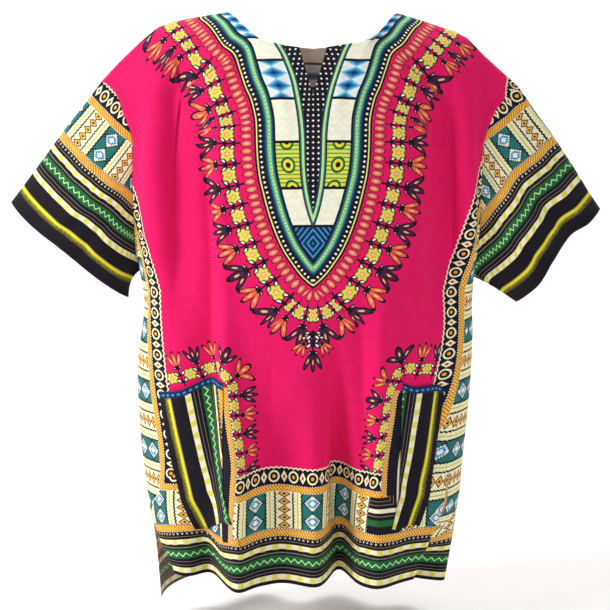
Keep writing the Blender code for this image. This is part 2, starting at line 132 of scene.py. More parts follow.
# Rings round the body: the depth in front and behind, and the power that rounds the corners
RING_COLUMNS = ("drop", "front", "back", "power")
RINGS = (
    (0.000, 0.090, 0.086, 2.20),
    (0.088, 0.094, 0.092, 2.20),
    (0.125, 0.099, 0.097, 2.20),
    (0.153, 0.103, 0.100, 2.20),
    (0.200, 0.108, 0.103, 2.25),
    (0.260, 0.113, 0.104, 2.25),
    (0.300, 0.116, 0.103, 2.25),
    (0.351, 0.117, 0.100, 2.25),
    (0.400, 0.116, 0.098, 2.20),
    (0.430, 0.115, 0.097, 2.15),
    (0.464, 0.113, 0.095, 2.15),
    (0.510, 0.110, 0.093, 2.10),
    (0.560, 0.106, 0.094, 2.10),
    (0.610, 0.103, 0.096, 2.10),
    (0.660, 0.104, 0.098, 2.10),
    (0.700, 0.107, 0.101, 2.10),
    (0.761, 0.114, 0.105, 2.10),
    (0.830, 0.118, 0.108, 2.10),
)

# The two sides of each ring. "reach" is x at the ring's end, which is open air in the armholes.
# "seam" is the angle there of the side seam: 0 is the right end, 90 the front, 180 the left end.
# "front" and "back" are the angles by which each piece stops short of that seam's line, at the
# armhole above it and at the vent below it.
SIDE_COLUMNS = ("drop", "reach", "seam", "front", "back")
LEFT_SIDE = (
    (0.000, -0.276, 180, 0, 0),
    (0.086, -0.276, 180, 0, 0),
    (0.094, -0.302, 180, 28, 28),
    (0.104, -0.312, 180, 35, 35),
    (0.119, -0.308, 180, 37, 37),
    (0.139, -0.286, 180, 33, 34),
    (0.167, -0.267, 180, 30, 31),
    (0.200, -0.259, 180, 26, 28),
    (0.236, -0.253, 180, 22, 24),
    (0.274, -0.247, 180, 17, 18),
    (0.312, -0.242, 180, 10, 10),
    (0.345, -0.237, 180, 0, 0),
    (0.400, -0.230, 184, 0, 0),
    (0.430, -0.234, 184, 0, 0),
    (0.464, -0.241, 184, 0, 0),
    (0.510, -0.244, 183, 0, 0),
    (0.560, -0.243, 183, 0, 0),
    (0.610, -0.240, 182, 0, 0),
    (0.655, -0.235, 180, 0, 0),
    (0.680, -0.232, 180, 6, 0),
    (0.710, -0.228, 180, 17, 0),
    (0.761, -0.223, 180, 33, 0),
    (0.830, -0.219, 180, 40, 0),
)
RIGHT_SIDE = (
    (0.000, 0.272, 0, 0, 0),
    (0.095, 0.272, 0, 0, 0),
    (0.103, 0.296, 0, 28, 28),
    (0.113, 0.304, 0, 35, 35),
    (0.128, 0.296, 0, 37, 37),
    (0.148, 0.272, 0, 33, 34),
    (0.176, 0.254, 0, 30, 31),
    (0.208, 0.245, 0, 26, 28),
    (0.244, 0.238, 0, 22, 24),
    (0.280, 0.232, 0, 17, 18),
    (0.318, 0.226, 2, 10, 10),
    (0.349, 0.221, 8, 0, 0),
    (0.400, 0.220, 17, 0, 0),
    (0.450, 0.222, 23, 0, 0),
    (0.510, 0.221, 26, 0, 0),
    (0.560, 0.218, 27, 0, 0),
    (0.610, 0.214, 28, 0, 0),
    (0.655, 0.211, 30, 0, 0),
    (0.680, 0.209, 30, 3, 0),
    (0.710, 0.206, 30, 8, 0),
    (0.761, 0.198, 30, 15, 0),
    (0.830, 0.186, 30, 18, 0),
)

# The shoulder line, carried on over the neck where there is no cloth.
SHOULDER_COLUMNS = ("x", "z")
SHOULDER = (
    (-0.276, -0.086), (-0.248, -0.058), (-0.225, -0.037), (-0.203, -0.019), (-0.182, -0.012),
    (-0.156, -0.007), (-0.113, 0.000), (-0.070, 0.012), (0.000, 0.020), (0.070, 0.011),
    (0.111, -0.001), (0.148, -0.012), (0.188, -0.025), (0.202, -0.032), (0.222, -0.052),
    (0.246, -0.073), (0.272, -0.095),
)
NECK_LEFT = -0.113
NECK_RIGHT = 0.111
FRONT_NECK = (
    (-0.113, 0.000), (-0.101, -0.006), (-0.087, -0.019), (-0.065, -0.037), (-0.036, -0.0455),
    (-0.016, -0.0485), (0.015, -0.0485), (0.041, -0.044), (0.071, -0.038), (0.088, -0.021),
    (0.102, -0.007), (0.111, -0.001),
)
SLIT_HALF = 0.016       # half the width of the open slit at the neck edge
SLIT_DEPTH = 0.059
SLIT_FADE = 0.150       # over which the rows of points under the slit level out
BACK_NECK = (
    (-0.113, 0.000), (-0.098, -0.015), (-0.078, -0.029), (-0.050, -0.039), (0.000, -0.044),
    (0.048, -0.040), (0.076, -0.030), (0.097, -0.016), (0.111, -0.001),
)

# Standing folds: each moves the cloth along y as it comes down. The columns are x high up and low
# down, the drops where it starts, is full, holds until and ends, its width to the left and to the
# right, and how far it moves the cloth where it is fullest.
FRONT_FOLDS = (
    (-0.168, -0.176, 0.03, 0.13, 0.30, 0.44, 0.016, 0.020, 0.017),
    (-0.208, -0.212, 0.06, 0.16, 0.26, 0.40, 0.014, 0.014, -0.007),
    (0.152, 0.166, 0.04, 0.15, 0.30, 0.46, 0.018, 0.016, 0.014),
    (-0.112, -0.100, 0.38, 0.60, 0.90, 1.00, 0.020, 0.018, -0.021),
    (-0.012, -0.040, 0.44, 0.62, 0.90, 1.00, 0.030, 0.034, 0.019),
    (0.020, 0.037, 0.36, 0.76, 0.90, 1.00, 0.018, 0.019, 0.061),
    (0.066, 0.090, 0.42, 0.62, 0.90, 1.00, 0.018, 0.024, -0.012),
    (-0.150, -0.142, 0.62, 0.76, 0.90, 1.00, 0.022, 0.020, 0.032),
    (0.176, 0.170, 0.40, 0.52, 0.58, 0.68, 0.012, 0.012, 0.007),
)
BACK_FOLDS = (
    (-0.110, -0.135, 0.10, 0.40, 0.90, 1.00, 0.022, 0.028, -0.017),
    (-0.060, -0.078, 0.30, 0.66, 0.90, 1.00, 0.020, 0.022, 0.013),
    (-0.012, -0.020, 0.22, 0.60, 0.90, 1.00, 0.018, 0.030, -0.022),
    (0.046, 0.040, 0.36, 0.70, 0.90, 1.00, 0.020, 0.020, 0.012),
    (0.088, 0.098, 0.12, 0.56, 0.90, 1.00, 0.026, 0.020, -0.018),
    (0.140, 0.144, 0.40, 0.72, 0.90, 1.00, 0.018, 0.018, 0.009),
)

# The threads of the front lean and sag at the pockets' corners: each row moves the cloth round
# one corner, across by a share of its width and up by a height. The columns are the corner's
# share of the width and its drop, how far the move reaches across, above and below, and the move.
NUDGES = (
    (0.145, 0.490, 0.130, 0.140, 0.140, 0.004, -0.004),
    (0.380, 0.480, 0.160, 0.140, 0.140, -0.002, 0.026),
    (0.145, 0.694, 0.130, 0.300, 0.066, 0.052, 0.000),
    (0.370, 0.690, 0.150, 0.180, 0.066, -0.030, 0.026),
    (0.790, 0.480, 0.140, 0.140, 0.140, 0.000, 0.020),
    (0.920, 0.480, 0.080, 0.140, 0.140, 0.012, 0.022),
    (0.790, 0.694, 0.140, 0.200, 0.066, 0.024, 0.015),
    (0.920, 0.694, 0.080, 0.200, 0.066, 0.002, 0.015),
)

# The back hem hangs lower than the front's and rises to the right.
BACK_HEM_LEFT = 0.825
BACK_HEM_RIGHT = 0.794
BACK_TUCK = (-0.050, 0.058)   # x and y that the back's right vent edge moves in by at the hem


def column(names, rows, name):
    return np.array([row[names.index(name)] for row in rows], dtype=float)


def smooth(knots, values, at):
    """A curve through the knots that never overshoots them."""
    step = np.diff(knots)
    slope = np.diff(values) / step
    tangent = np.concatenate(([slope[0]], np.zeros(len(slope) - 1), [slope[-1]]))
    same = slope[:-1] * slope[1:] > 0
    total = np.where(same, slope[:-1] + slope[1:], 1.0)
    tangent[1:-1] = np.where(same, 2 * slope[:-1] * slope[1:] / total, 0.0)
    at = np.clip(at, knots[0], knots[-1])
    cell = np.clip(np.searchsorted(knots, at, side="right") - 1, 0, len(step) - 1)
    t = (at - knots[cell]) / step[cell]
    rise = (2 * t**3 - 3 * t**2 + 1) * values[cell] + (3 * t**2 - 2 * t**3) * values[cell + 1]
    lean = (t**3 - 2 * t**2 + t) * tangent[cell] + (t**3 - t**2) * tangent[cell + 1]
    return rise + lean * step[cell]


def table(names, rows, name, at):
    return smooth(column(names, rows, names[0]), column(names, rows, name), at)


def ease(low, high, at):
    t = np.clip((at - low) / (high - low), 0.0, 1.0)
    return t * t * (3 - 2 * t)


def ring_point(drop, sides, share, squash, piece):
    """The x and y of the point at this share of the length of a piece round each ring. The ring
    tilts between "sides", the drops of its left and right ends."""
    front, back, power = (
        table(RING_COLUMNS, RINGS, name, drop)[:, None] for name in RING_COLUMNS[1:]
    )
    left, left_seam, left_open = (
        table(SIDE_COLUMNS, LEFT_SIDE, name, sides[0])[:, None] for name in ("reach", "seam", piece)
    )
    right, right_seam, right_open = (
        table(SIDE_COLUMNS, RIGHT_SIDE, name, sides[1])[:, None] for name in ("reach", "seam", piece)
    )
    if piece == "front":
        start = left_seam - left_open
        stop = right_seam + right_open
    else:
        start = left_seam + left_open
        stop = 360 + right_seam - right_open
    angle = np.radians(start + (stop - start) * np.linspace(0.0, 1.0, FINE)[None, :])
    across = np.cos(angle)
    ahead = np.sin(angle)
    depth = np.where(ahead > 0, front, back) * squash[:, None]
    x = (left + right) / 2 + (right - left) / 2 * np.sign(across) * abs(across) ** (2 / power)
    y = -depth * np.sign(ahead) * abs(ahead) ** (2 / power)
    length = np.hypot(np.diff(x, axis=1), np.diff(y, axis=1)).cumsum(axis=1)
    length = np.concatenate((np.zeros((len(length), 1)), length), axis=1)
    found = [
        (np.interp(part * far[-1], far, xs), np.interp(part * far[-1], far, ys))
        for part, far, xs, ys in zip(share, length, x, y)
    ]
    return np.array(found)


def folds(piece, x, drop, share):
    """How far the standing folds move the cloth along y."""
    rows = FRONT_FOLDS if piece == "front" else BACK_FOLDS
    push = np.zeros_like(x)
    for x_high, x_low, start, full, hold, end, left, right, most in rows:
        centre = x_high + (x_low - x_high) * ease(start, full, drop)
        width = np.where(x < centre, left, right)
        grown = ease(start, full, drop) * (1 - ease(hold, end, drop))
        push += most * grown * np.exp(-(((x - centre) / width) ** 2))
    free = ease(VENT_DROP, FRONT_HEM_DROP, drop)
    side = ease(0.0, 0.07, share) * ease(0.0, 0.07, 1 - share)
    return push * (side + (1 - side) * free)


def fall(piece, share, top, edge_drop):
    """The z of a point that hangs from "top", for a drop measured along the side edge."""
    scale = (top + FRONT_HEM_DROP) / (FRONT_HEM_DROP - SHOULDER_DROP)
    z = top - (edge_drop - SHOULDER_DROP) * scale
    if piece == "front":
        return z
    at_vent = top - (VENT_DROP - SHOULDER_DROP) * scale
    hem = -(BACK_HEM_LEFT + (BACK_HEM_RIGHT - BACK_HEM_LEFT) * share)
    past = np.clip((edge_drop - VENT_DROP) / (FRONT_HEM_DROP - VENT_DROP), 0.0, 1.0)
    return np.where(past > 0, at_vent + (hem - at_vent) * past, z)


def panel_point(piece, share, edge_drop):
    """Points of the front or the back at a share of its width and a drop along its side edge."""
    x_top = LEFT_SIDE[0][1] + (RIGHT_SIDE[0][1] - LEFT_SIDE[0][1]) * share
    roof = np.interp(x_top, column(SHOULDER_COLUMNS, SHOULDER, "x"),
                     column(SHOULDER_COLUMNS, SHOULDER, "z"))
    neck = FRONT_NECK if piece == "front" else BACK_NECK
    open_top = np.interp(x_top, [row[0] for row in neck], [row[1] for row in neck])
    inside = (x_top > NECK_LEFT) & (x_top < NECK_RIGHT)
    z = fall(piece, share, np.where(inside, open_top, roof), edge_drop)
    if piece == "front":
        slit = SLIT_DEPTH * np.clip(1 - abs(x_top) / SLIT_HALF, 0.0, 1.0)
        z = z - slit * np.clip(1 - (edge_drop - SHOULDER_DROP) / SLIT_FADE, 0.0, 1.0) ** 2
    sides = (
        -fall(piece, 0.0, np.full_like(share, SHOULDER[0][1]), edge_drop),
        -fall(piece, 1.0, np.full_like(share, SHOULDER[-1][1]), edge_drop),
    )
    drop = -z
    width = share
    for at, level, reach, above, below, shift, lift in NUDGES if piece == "front" else ():
        far = np.where(drop < level, (level - drop) / above, (drop - level) / below)
        near = (1 - ease(0.0, reach, abs(width - at))) * (1 - ease(0.0, 1.0, far))
        share = share + shift * near
        z = z + lift * near
    level = np.clip((roof - z) / ROUND_DROP, 0.0, 1.0)
    squash = np.sin(level * math.pi / 2) ** ROUND_POWER
    flat = ring_point(-z, sides, share, squash, piece)
    x = flat[:, 0]
    y = flat[:, 1] + folds(piece, x, -z, share)
    if piece == "back":
        tuck = ease(VENT_DROP, BACK_HEM_RIGHT, -z) * ease(0.88, 1.0, share)
        x = x + BACK_TUCK[0] * tuck
        y = y + BACK_TUCK[1] * tuck
    return np.stack((x, y, z), axis=-1)


# The patches that the pockets cover, as x at the shoulders and drop at the side edge
POCKETS = {"pocket_left": (-0.1945, -0.077), "pocket_right": (0.1754, 0.2398)}
POCKET_DROPS = (0.520, 0.700)


def panel_x():
    """Columns of points across a panel, as x at the shoulders: close at the seams and the slit."""
    left, right = LEFT_SIDE[0][1], RIGHT_SIDE[0][1]
    return np.unique(np.concatenate((
        POCKETS["pocket_left"], POCKETS["pocket_right"],
        (left, left + 0.0008, left + 0.0022, left + 0.0044),
        np.linspace(left + 0.0078, NECK_LEFT, 43), np.linspace(NECK_LEFT, -SLIT_HALF, 28)[1:],
        np.linspace(-SLIT_HALF, SLIT_HALF, 21)[1:-1], np.linspace(SLIT_HALF, NECK_RIGHT, 28)[:-1],
        np.linspace(NECK_RIGHT, right - 0.0078, 43),
        (right - 0.0044, right - 0.0022, right - 0.0008, right),
    )))


UNDERARM_DROP = 0.345
ARMHOLE_DROPS = np.concatenate((
    (0.086, 0.0868, 0.088, 0.0897), np.linspace(0.092, UNDERARM_DROP, 76),
))
PANEL_DROPS = np.unique(np.concatenate((
    ARMHOLE_DROPS, POCKET_DROPS, np.linspace(UNDERARM_DROP, VENT_DROP, 92)[1:],
    np.linspace(VENT_DROP, 0.7555, 30)[1:], (0.7578, 0.7594, FRONT_HEM_DROP),
)))


def skin_normals(grid, closed):
    """Unit normals, to the viewer's side of a sheet whose columns run to the right."""
    down = np.gradient(grid, axis=0)
    over = np.roll(grid, -1, axis=1) - np.roll(grid, 1, axis=1) if closed else np.gradient(grid, axis=1)
    down = down / np.linalg.norm(down, axis=2, keepdims=True)
    over = over / np.linalg.norm(over, axis=2, keepdims=True)
    if not closed:
        steep = abs(over[..., 2]) > 1.5 * np.hypot(over[..., 0], over[..., 1])
        over = np.where(steep[..., None], np.array((1.0, 0.0, 0.0)), over)
    normal = np.cross(down, over)
    return normal / np.linalg.norm(normal, axis=2, keepdims=True)


def creased(grid, normal, creases, keep):
    """Creases, each from one point to another as seen from the front, tapered at both ends, with
    half its width to photo left and to photo right. "keep" is 0 on the sewn edges."""
    lift = np.zeros(grid.shape[:2])
    for x_from, z_from, x_to, z_to, left, right, most in creases:
        run = np.array((x_to - x_from, z_to - z_from))
        length = np.linalg.norm(run)
        run = run / length
        across = (grid[..., 0] - x_from) * run[1] - (grid[..., 2] - z_from) * run[0]
        along = ((grid[..., 0] - x_from) * run[0] + (grid[..., 2] - z_from) * run[1]) / length
        across = across + 0.18 * right * np.sin(along * 5.1 + x_from * 90)
        taper = ease(-0.12, 0.35, along) * (1 - ease(0.55, 1.12, along))
        sides = np.where(across > 0, left, right)
        sharp = 1.35 if most < 0 else 2.0
        lift += most * taper * (np.exp(-(abs(across / sides) ** sharp))
                                - 0.35 * np.exp(-(((across + 2.0 * right) / right) ** 2)))
    return grid + normal * (lift * keep)[..., None]


def flat_lengths(grid, drops):
    """Where each point lies in the flat cut: metres across from the centre line, and metres down
    from the height of the neck ends of the shoulder seams."""
    over = np.hypot(np.diff(grid[..., 0], axis=1), np.diff(grid[..., 1], axis=1)).cumsum(axis=1)
    over = np.concatenate((np.zeros((len(grid), 1)), over), axis=1)
    over -= np.array([np.interp(0.0, row[:, 0], far) for row, far in zip(grid, over)])[:, None]
    down = np.linalg.norm(np.diff(grid, axis=0), axis=2).cumsum(axis=0)
    down = np.concatenate((np.zeros((1, grid.shape[1])), down), axis=0)
    level = int(np.argmin(abs(drops - 0.45)))
    return over, down - down[level] - grid[level, :, 2]


YOKE_EDGE = (
    (0.192, -0.042), (0.184, -0.028), (0.149, 0.008), (0.130, 0.029), (0.110, 0.046), (0.101, 0.065),
    (0.091, 0.088), (0.079, 0.112), (0.0725, 0.140), (0.0715, 0.172), (0.069, 0.200), (0.063, 0.228),
    (0.054, 0.260), (0.0395, 0.296),
    (0.0275, 0.316), (0.014, 0.334), (0.0, 0.347),
)


def yoke_lengths(edge, over, down):
    """Metres along the printed yoke's outline from its tip, and metres out from it."""
    half = np.array(edge)
    far = np.concatenate(([0.0], np.hypot(*np.diff(half, axis=0).T).cumsum()))
    fine = np.linspace(0.0, far[-1], 260)
    line = np.stack((smooth(far, half[:, 0], fine), smooth(far, half[:, 1], fine)), axis=1)
    spots = np.stack((abs(over).ravel(), down.ravel()), axis=1)
    along = np.zeros(len(spots))
    out = np.full(len(spots), 9.0)
    for start, stop, begun in zip(line[:-1], line[1:], fine[:-1]):
        run = stop - start
        length = np.linalg.norm(run)
        run = run / length
        away = spots - start
        walk = np.clip(away @ run, 0.0, length)
        side = np.hypot(*(away - walk[:, None] * run).T)
        nearer = side < out
        out = np.where(nearer, side, out)
        along = np.where(nearer, far[-1] - begun - walk, along)
    limit = np.interp(spots[:, 1], line[:, 1], line[:, 0], right=-1.0)
    sign = np.where(spots[:, 0] < limit, -1.0, 1.0)
    return along.reshape(over.shape), (out * sign).reshape(over.shape)


def edge_lengths(over, down):
    """Metres from the top edge, which is the shoulder seam or the neck, and from the side."""
    side = np.minimum(over - over[:, :1], over[:, -1:] - over)
    return down - down[:1], side


CLOTH_WALL = 0.0007


def cloth_piece(name, grid, normal, maps, closed=False, flip=False, wall=CLOTH_WALL):
    """A sheet of cloth: a flat mesh of rows and columns gets its wall and is then put in place.
    "maps" holds two numbers for each point, such as its place in the flat cut."""
    if flip:
        grid = grid[:, ::-1]
        normal = normal[:, ::-1]
        maps = {key: value[:, ::-1] for key, value in maps.items()}
    if closed:
        grid = np.concatenate((grid, grid[:, :1]), axis=1)
        normal = np.concatenate((normal, normal[:, :1]), axis=1)
    rows, cols = grid.shape[:2]
    sheet = bmesh.new()
    bmesh.ops.create_grid(sheet, x_segments=cols - 1, y_segments=rows - 1, size=0.5)
    raised = bmesh.ops.extrude_face_region(sheet, geom=sheet.faces[:], use_keep_orig=True)
    under = [face for face in sheet.faces if face.normal.z > 0.5]
    lifted = {item for item in raised["geom"] if isinstance(item, bmesh.types.BMVert)}
    for vert in lifted:
        vert.co.z = 1.0
    bmesh.ops.reverse_faces(sheet, faces=[face for face in under if face.verts[0] not in lifted])
    if closed:
        rim = [
            face for face in sheet.faces
            if max(v.co.z for v in face.verts) - min(v.co.z for v in face.verts) > 0.5
            and abs(abs(sum(v.co.x for v in face.verts)) - 2.0) < 1e-4
        ]
        bmesh.ops.delete(sheet, geom=rim, context="FACES_ONLY")
    spots = [
        (round((0.5 - v.co.y) * (rows - 1)), round((v.co.x + 0.5) * (cols - 1)), v.co.z > 0.5)
        for v in sheet.verts
    ]
    sheet.verts.index_update()
    layers = {key: sheet.loops.layers.uv.new(key) for key in maps}
    reverse = sheet.verts.layers.float.new("reverse")
    baked = sheet.loops.layers.uv.new("OFBake")
    for face in sheet.faces:
        outer = any(spots[v.index][2] for v in face.verts)
        for loop in face.loops:
            row, col, _ = spots[loop.vert.index]
            for key, layer in layers.items():
                loop[layer].uv = maps[key][row, col]
            share = (0.008 + 0.984 * col / (cols - 1), 1 - row / (rows - 1))
            loop[baked].uv = (share[0], 0.235 + 0.757 * share[1] if outer else 0.008 + 0.215 * share[1])
    for vert, (row, col, top) in zip(sheet.verts, spots):
        vert.co = grid[row, col] - (0.0 if top else wall) * normal[row, col]
        vert[reverse] = 0.0 if top else 1.0
    if closed:
        seam = [v for v, (_, col, _) in zip(sheet.verts, spots) if col in (0, cols - 1)]
        bmesh.ops.remove_doubles(sheet, verts=seam, dist=0.00001)
    for face in sheet.faces:
        face.smooth = True
    mesh = bpy.data.meshes.new(name)
    sheet.to_mesh(mesh)
    sheet.free()
    piece = bpy.data.objects.new(name, mesh)
    bpy.context.scene.collection.objects.link(piece)
    return piece


def panel_points(piece):
    x_top = panel_x()
    share = (x_top - x_top[0]) / (x_top[-1] - x_top[0])
    return share, np.array([panel_point(piece, share,
                                        np.full_like(share, drop)) for drop in PANEL_DROPS])


# Inks of the print, as sRGB numbers
def ink(red, green, blue):
    tones = [c / 255 for c in (red, green, blue)]
    return (*[t / 12.92 if t <= 0.04045 else ((t + 0.055) / 1.055) ** 2.4 for t in tones], 1.0)


PINK = ink(236, 18, 100)
BLACK = ink(24, 17, 30)
CREAM = ink(252, 243, 205)
YELLOW = ink(238, 226, 58)
GOLD = ink(246, 176, 52)
RUST = ink(196, 88, 30)
TEAL = ink(38, 118, 112)
GREEN = ink(34, 104, 54)
SKY = ink(62, 156, 214)
NAVY = ink(22, 46, 88)
LIME = ink(206, 230, 96)
CORAL = ink(250, 106, 82)
WHITE = ink(255, 253, 246)
TAN = ink(128, 118, 108)


def socket_of(tree, term, socket):
    """Links a value or a colour to a socket, or writes it there."""
    if isinstance(term, bpy.types.NodeSocket):
        tree.links.new(term, socket)
    else:
        socket.default_value = term


def calc(tree, operation, *terms):
    """One step of arithmetic in a pattern."""
    node = tree.nodes.new("ShaderNodeMath")
    node.operation = operation
    for term, socket in zip(terms, node.inputs):
        socket_of(tree, term, socket)
    return node.outputs[0]


def printed(tree, where, under, over):
    """One colour printed over another where the mask is 1."""
    node = tree.nodes.new("ShaderNodeMix")
    node.data_type = "RGBA"
    socket_of(tree, where, node.inputs["Factor"])
    socket_of(tree, under, node.inputs[6])
    socket_of(tree, over, node.inputs[7])
    return node.outputs[2]


def inside(tree, value, low, high):
    return calc(tree, "COMPARE", value, (low + high) / 2, (high - low) / 2)


def both(tree, *masks):
    result = masks[0]
    for mask in masks[1:]:
        result = calc(tree, "MULTIPLY", result, mask)
    return result


def oval(tree, across, along, half_across, half_along):
    """1 on the edge of an oval, less inside it."""
    spot = tree.nodes.new("ShaderNodeCombineXYZ")
    socket_of(tree, calc(tree, "DIVIDE", across, half_across), spot.inputs[0])
    socket_of(tree, calc(tree, "DIVIDE", along, half_along), spot.inputs[1])
    length = tree.nodes.new("ShaderNodeVectorMath")
    length.operation = "LENGTH"
    tree.links.new(spot.outputs[0], length.inputs[0])
    return length.outputs["Value"]


def lozenge(tree, across, along, half_across, half_along):
    """1 on the edge of a lozenge, less inside it; both distances are measured from its centre."""
    one = calc(tree, "DIVIDE", calc(tree, "ABSOLUTE", across), half_across)
    two = calc(tree, "DIVIDE", calc(tree, "ABSOLUTE", along), half_along)
    return calc(tree, "ADD", one, two)


def leaf(tree, across, along, at_across, at_along, turn, half_width, half_length):
    """An oval set at an angle in a motif's own axes."""
    one = calc(tree, "SUBTRACT", across, at_across)
    two = calc(tree, "SUBTRACT", along, at_along)
    c, s = math.cos(math.radians(turn)), math.sin(math.radians(turn))
    wide = calc(tree, "ADD", calc(tree, "MULTIPLY", one, c), calc(tree, "MULTIPLY", two, s))
    tall = calc(tree, "SUBTRACT", calc(tree, "MULTIPLY", two, c), calc(tree, "MULTIPLY", one, s))
    return oval(tree, wide, tall, half_width, half_length)


def below(tree, value, limit):
    return calc(tree, "LESS_THAN", value, limit)


def above(tree, value, limit):
    return calc(tree, "GREATER_THAN", value, limit)


def inlaid(tree, value, colour, layers):
    """Colours printed one inside another, each where the value is below its limit."""
    for limit, tint in layers:
        colour = printed(tree, below(tree, value, limit), colour, tint)
    return colour


def group(name, inputs, outputs):
    """A node group with named inputs and outputs."""
    tree = bpy.data.node_groups.new(name, "ShaderNodeTree")
    kinds = {"value": "NodeSocketFloat", "colour": "NodeSocketColor", "vector": "NodeSocketVector"}
    for title, kind in inputs:
        tree.interface.new_socket(title, in_out="INPUT", socket_type=kinds[kind])
    for title, kind in outputs:
        tree.interface.new_socket(title, in_out="OUTPUT", socket_type=kinds[kind])
    return tree, tree.nodes.new("NodeGroupInput").outputs, tree.nodes.new("NodeGroupOutput").inputs


def placed(tree, kind, **terms):
    """A node group set in a tree, with its inputs filled."""
    node = tree.nodes.new("ShaderNodeGroup")
    node.node_tree = kind
    for title, term in terms.items():
        socket_of(tree, term, node.inputs[title.replace("_", " ")])
    return node.outputs


def stripes(tree, value, start, stop, bands):
    """Plain bands of colour, each from its own distance on."""
    ramp = tree.nodes.new("ShaderNodeValToRGB")
    ramp.color_ramp.interpolation = "CONSTANT"
    share = calc(tree, "DIVIDE", calc(tree, "SUBTRACT", value, start), stop - start)
    tree.links.new(share, ramp.inputs[0])
    stops = ramp.color_ramp.elements
    for number, (at, colour) in enumerate(bands):
        place = (at - start) / (stop - start)
        stop_here = stops[number] if number < 2 else stops.new(place)
        stop_here.position = place
        stop_here.color = colour
    return ramp.outputs["Color"]


def noise(tree, along, across, scale, detail=2.0):
    spot = tree.nodes.new("ShaderNodeCombineXYZ")
    socket_of(tree, along, spot.inputs[0])
    socket_of(tree, across, spot.inputs[1])
    node = tree.nodes.new("ShaderNodeTexNoise")
    node.inputs["Scale"].default_value = scale
    node.inputs["Detail"].default_value = detail
    tree.links.new(spot.outputs[0], node.inputs["Vector"])
    return node.outputs[0]


# Twisted cord, printed: gold strands on rust with a row of white teeth down each side. Lengths in
# the prints are in millimetres.
cord_tree, port, result = group(
    "cord_print",
    (("Along", "value"), ("Across", "value"), ("Half Width", "value"), ("Under", "colour")),
    (("Color", "colour"),))
far = calc(cord_tree, "ABSOLUTE", port["Across"])
lean = calc(cord_tree, "ADD", port["Along"], calc(cord_tree, "MULTIPLY", port["Across"], 0.9))
strand = calc(cord_tree, "PINGPONG", lean, 2.3)
span = calc(cord_tree, "DIVIDE", far, port["Half Width"])
colour = printed(cord_tree, below(cord_tree, strand, 1.75), RUST, GOLD)
shine = both(cord_tree, below(cord_tree, strand, 0.9), below(cord_tree, span, 0.55))
colour = printed(cord_tree, shine, colour, ink(255, 214, 96))
past_cord = calc(cord_tree, "MULTIPLY", calc(cord_tree, "SUBTRACT", far, port["Half Width"]), 0.9)
teeth = calc(cord_tree, "ADD", calc(cord_tree, "PINGPONG", port["Along"], 1.9), past_cord)
toothed = printed(cord_tree, below(cord_tree, teeth, 1.35), port["Under"], WHITE)
in_teeth = below(cord_tree, far, calc(cord_tree, "ADD", port["Half Width"], 2.0))
toothed = printed(cord_tree, in_teeth, port["Under"], toothed)
colour = printed(cord_tree, below(cord_tree, span, 1.0), toothed, colour)
cord_tree.links.new(colour, result["Color"])


def cord(tree, along, across, centre, half_width, under):
    off = calc(tree, "SUBTRACT", across, centre)
    return placed(tree, cord_tree, Along=along, Across=off, Half_Width=half_width, Under=under)["Color"]


# The border along every edge of the cloth: plain dark bands at the selvedge, check, zigzag and
# dotted stripes, a cord, a row of boxes, a second cord, and rings and lozenges on a dark band.
border, port, result = group(
    "border_print", (("Along", "value"), ("Across", "value"), ("Ground", "colour")),
    (("Color", "colour"),))
along, across = port["Along"], port["Across"]
rough = calc(border, "MULTIPLY", calc(border, "SUBTRACT", noise(border, along, across, 0.45), 0.5), 0.9)
along = calc(border, "ADD", along, rough)
across = calc(border, "ADD", across, calc(border, "MULTIPLY", rough, 0.8))
colour = stripes(border, across, 0.0, 220.0, (
    (0, BLACK), (50, BLACK), (50.6, CREAM), (58, BLACK), (61.5, TAN), (62.7, BLACK), (66.5, TAN),
    (67.6, BLACK),
    (72, GREEN), (84.5, BLACK), (87.5, TAN), (88.7, BLACK), (93, CREAM), (100.5, BLACK), (103.5, TAN),
    (104.6, BLACK), (123, CREAM), (175.5, BLACK)))
streaks = noise(border, along, calc(border, "MULTIPLY", across, 0.16), 1.15, 3.0)
from_core = calc(border, "SUBTRACT", across, 27.5)
glow = calc(border, "SUBTRACT", 1.6, calc(border, "DIVIDE", calc(border, "ABSOLUTE", from_core), 2.2))
faded = calc(border, "ADD", 1.0, calc(border, "DIVIDE", from_core, 9.0))
faded = calc(border, "MULTIPLY", faded,
             calc(border, "MULTIPLY", calc(border, "SUBTRACT", streaks, 0.37), 3.6))
glow = calc(border, "MAXIMUM", glow, both(border, faded, below(border, across, 28.0)))
glow_node = border.nodes.new("ShaderNodeClamp")
border.links.new(glow, glow_node.inputs[0])
in_plain = inside(border, across, 14.0, 34.0)
colour = printed(border, both(border, glow_node.outputs[0], in_plain), colour, YELLOW)
blocks = below(border, calc(border, "PINGPONG", along, 9.0), 4.0)
in_check = calc(border, "MAXIMUM", inside(border, across, 50.6, 58.0),
                inside(border, across, 93.0, 100.5))
colour = printed(border, both(border, blocks, in_check), colour, ink(232, 226, 104))
zigzag = calc(border, "SUBTRACT", calc(border, "SUBTRACT", across, 75.6),
              calc(border, "PINGPONG", along, 5.4))
zigzag = below(border, calc(border, "ABSOLUTE", zigzag), 1.1)
in_zigzag = inside(border, across, 74.0, 82.8)
colour = printed(border, both(border, zigzag, in_zigzag), colour, ink(190, 236, 170))
dots = oval(border, calc(border, "SUBTRACT", across, 109.0), calc(border, "PINGPONG", along, 3.4), 1.5,
            1.5)
colour = printed(border, below(border, dots, 1.0), colour, ink(214, 196, 150))
colour = cord(border, along, across, 117.5, 4.6, colour)

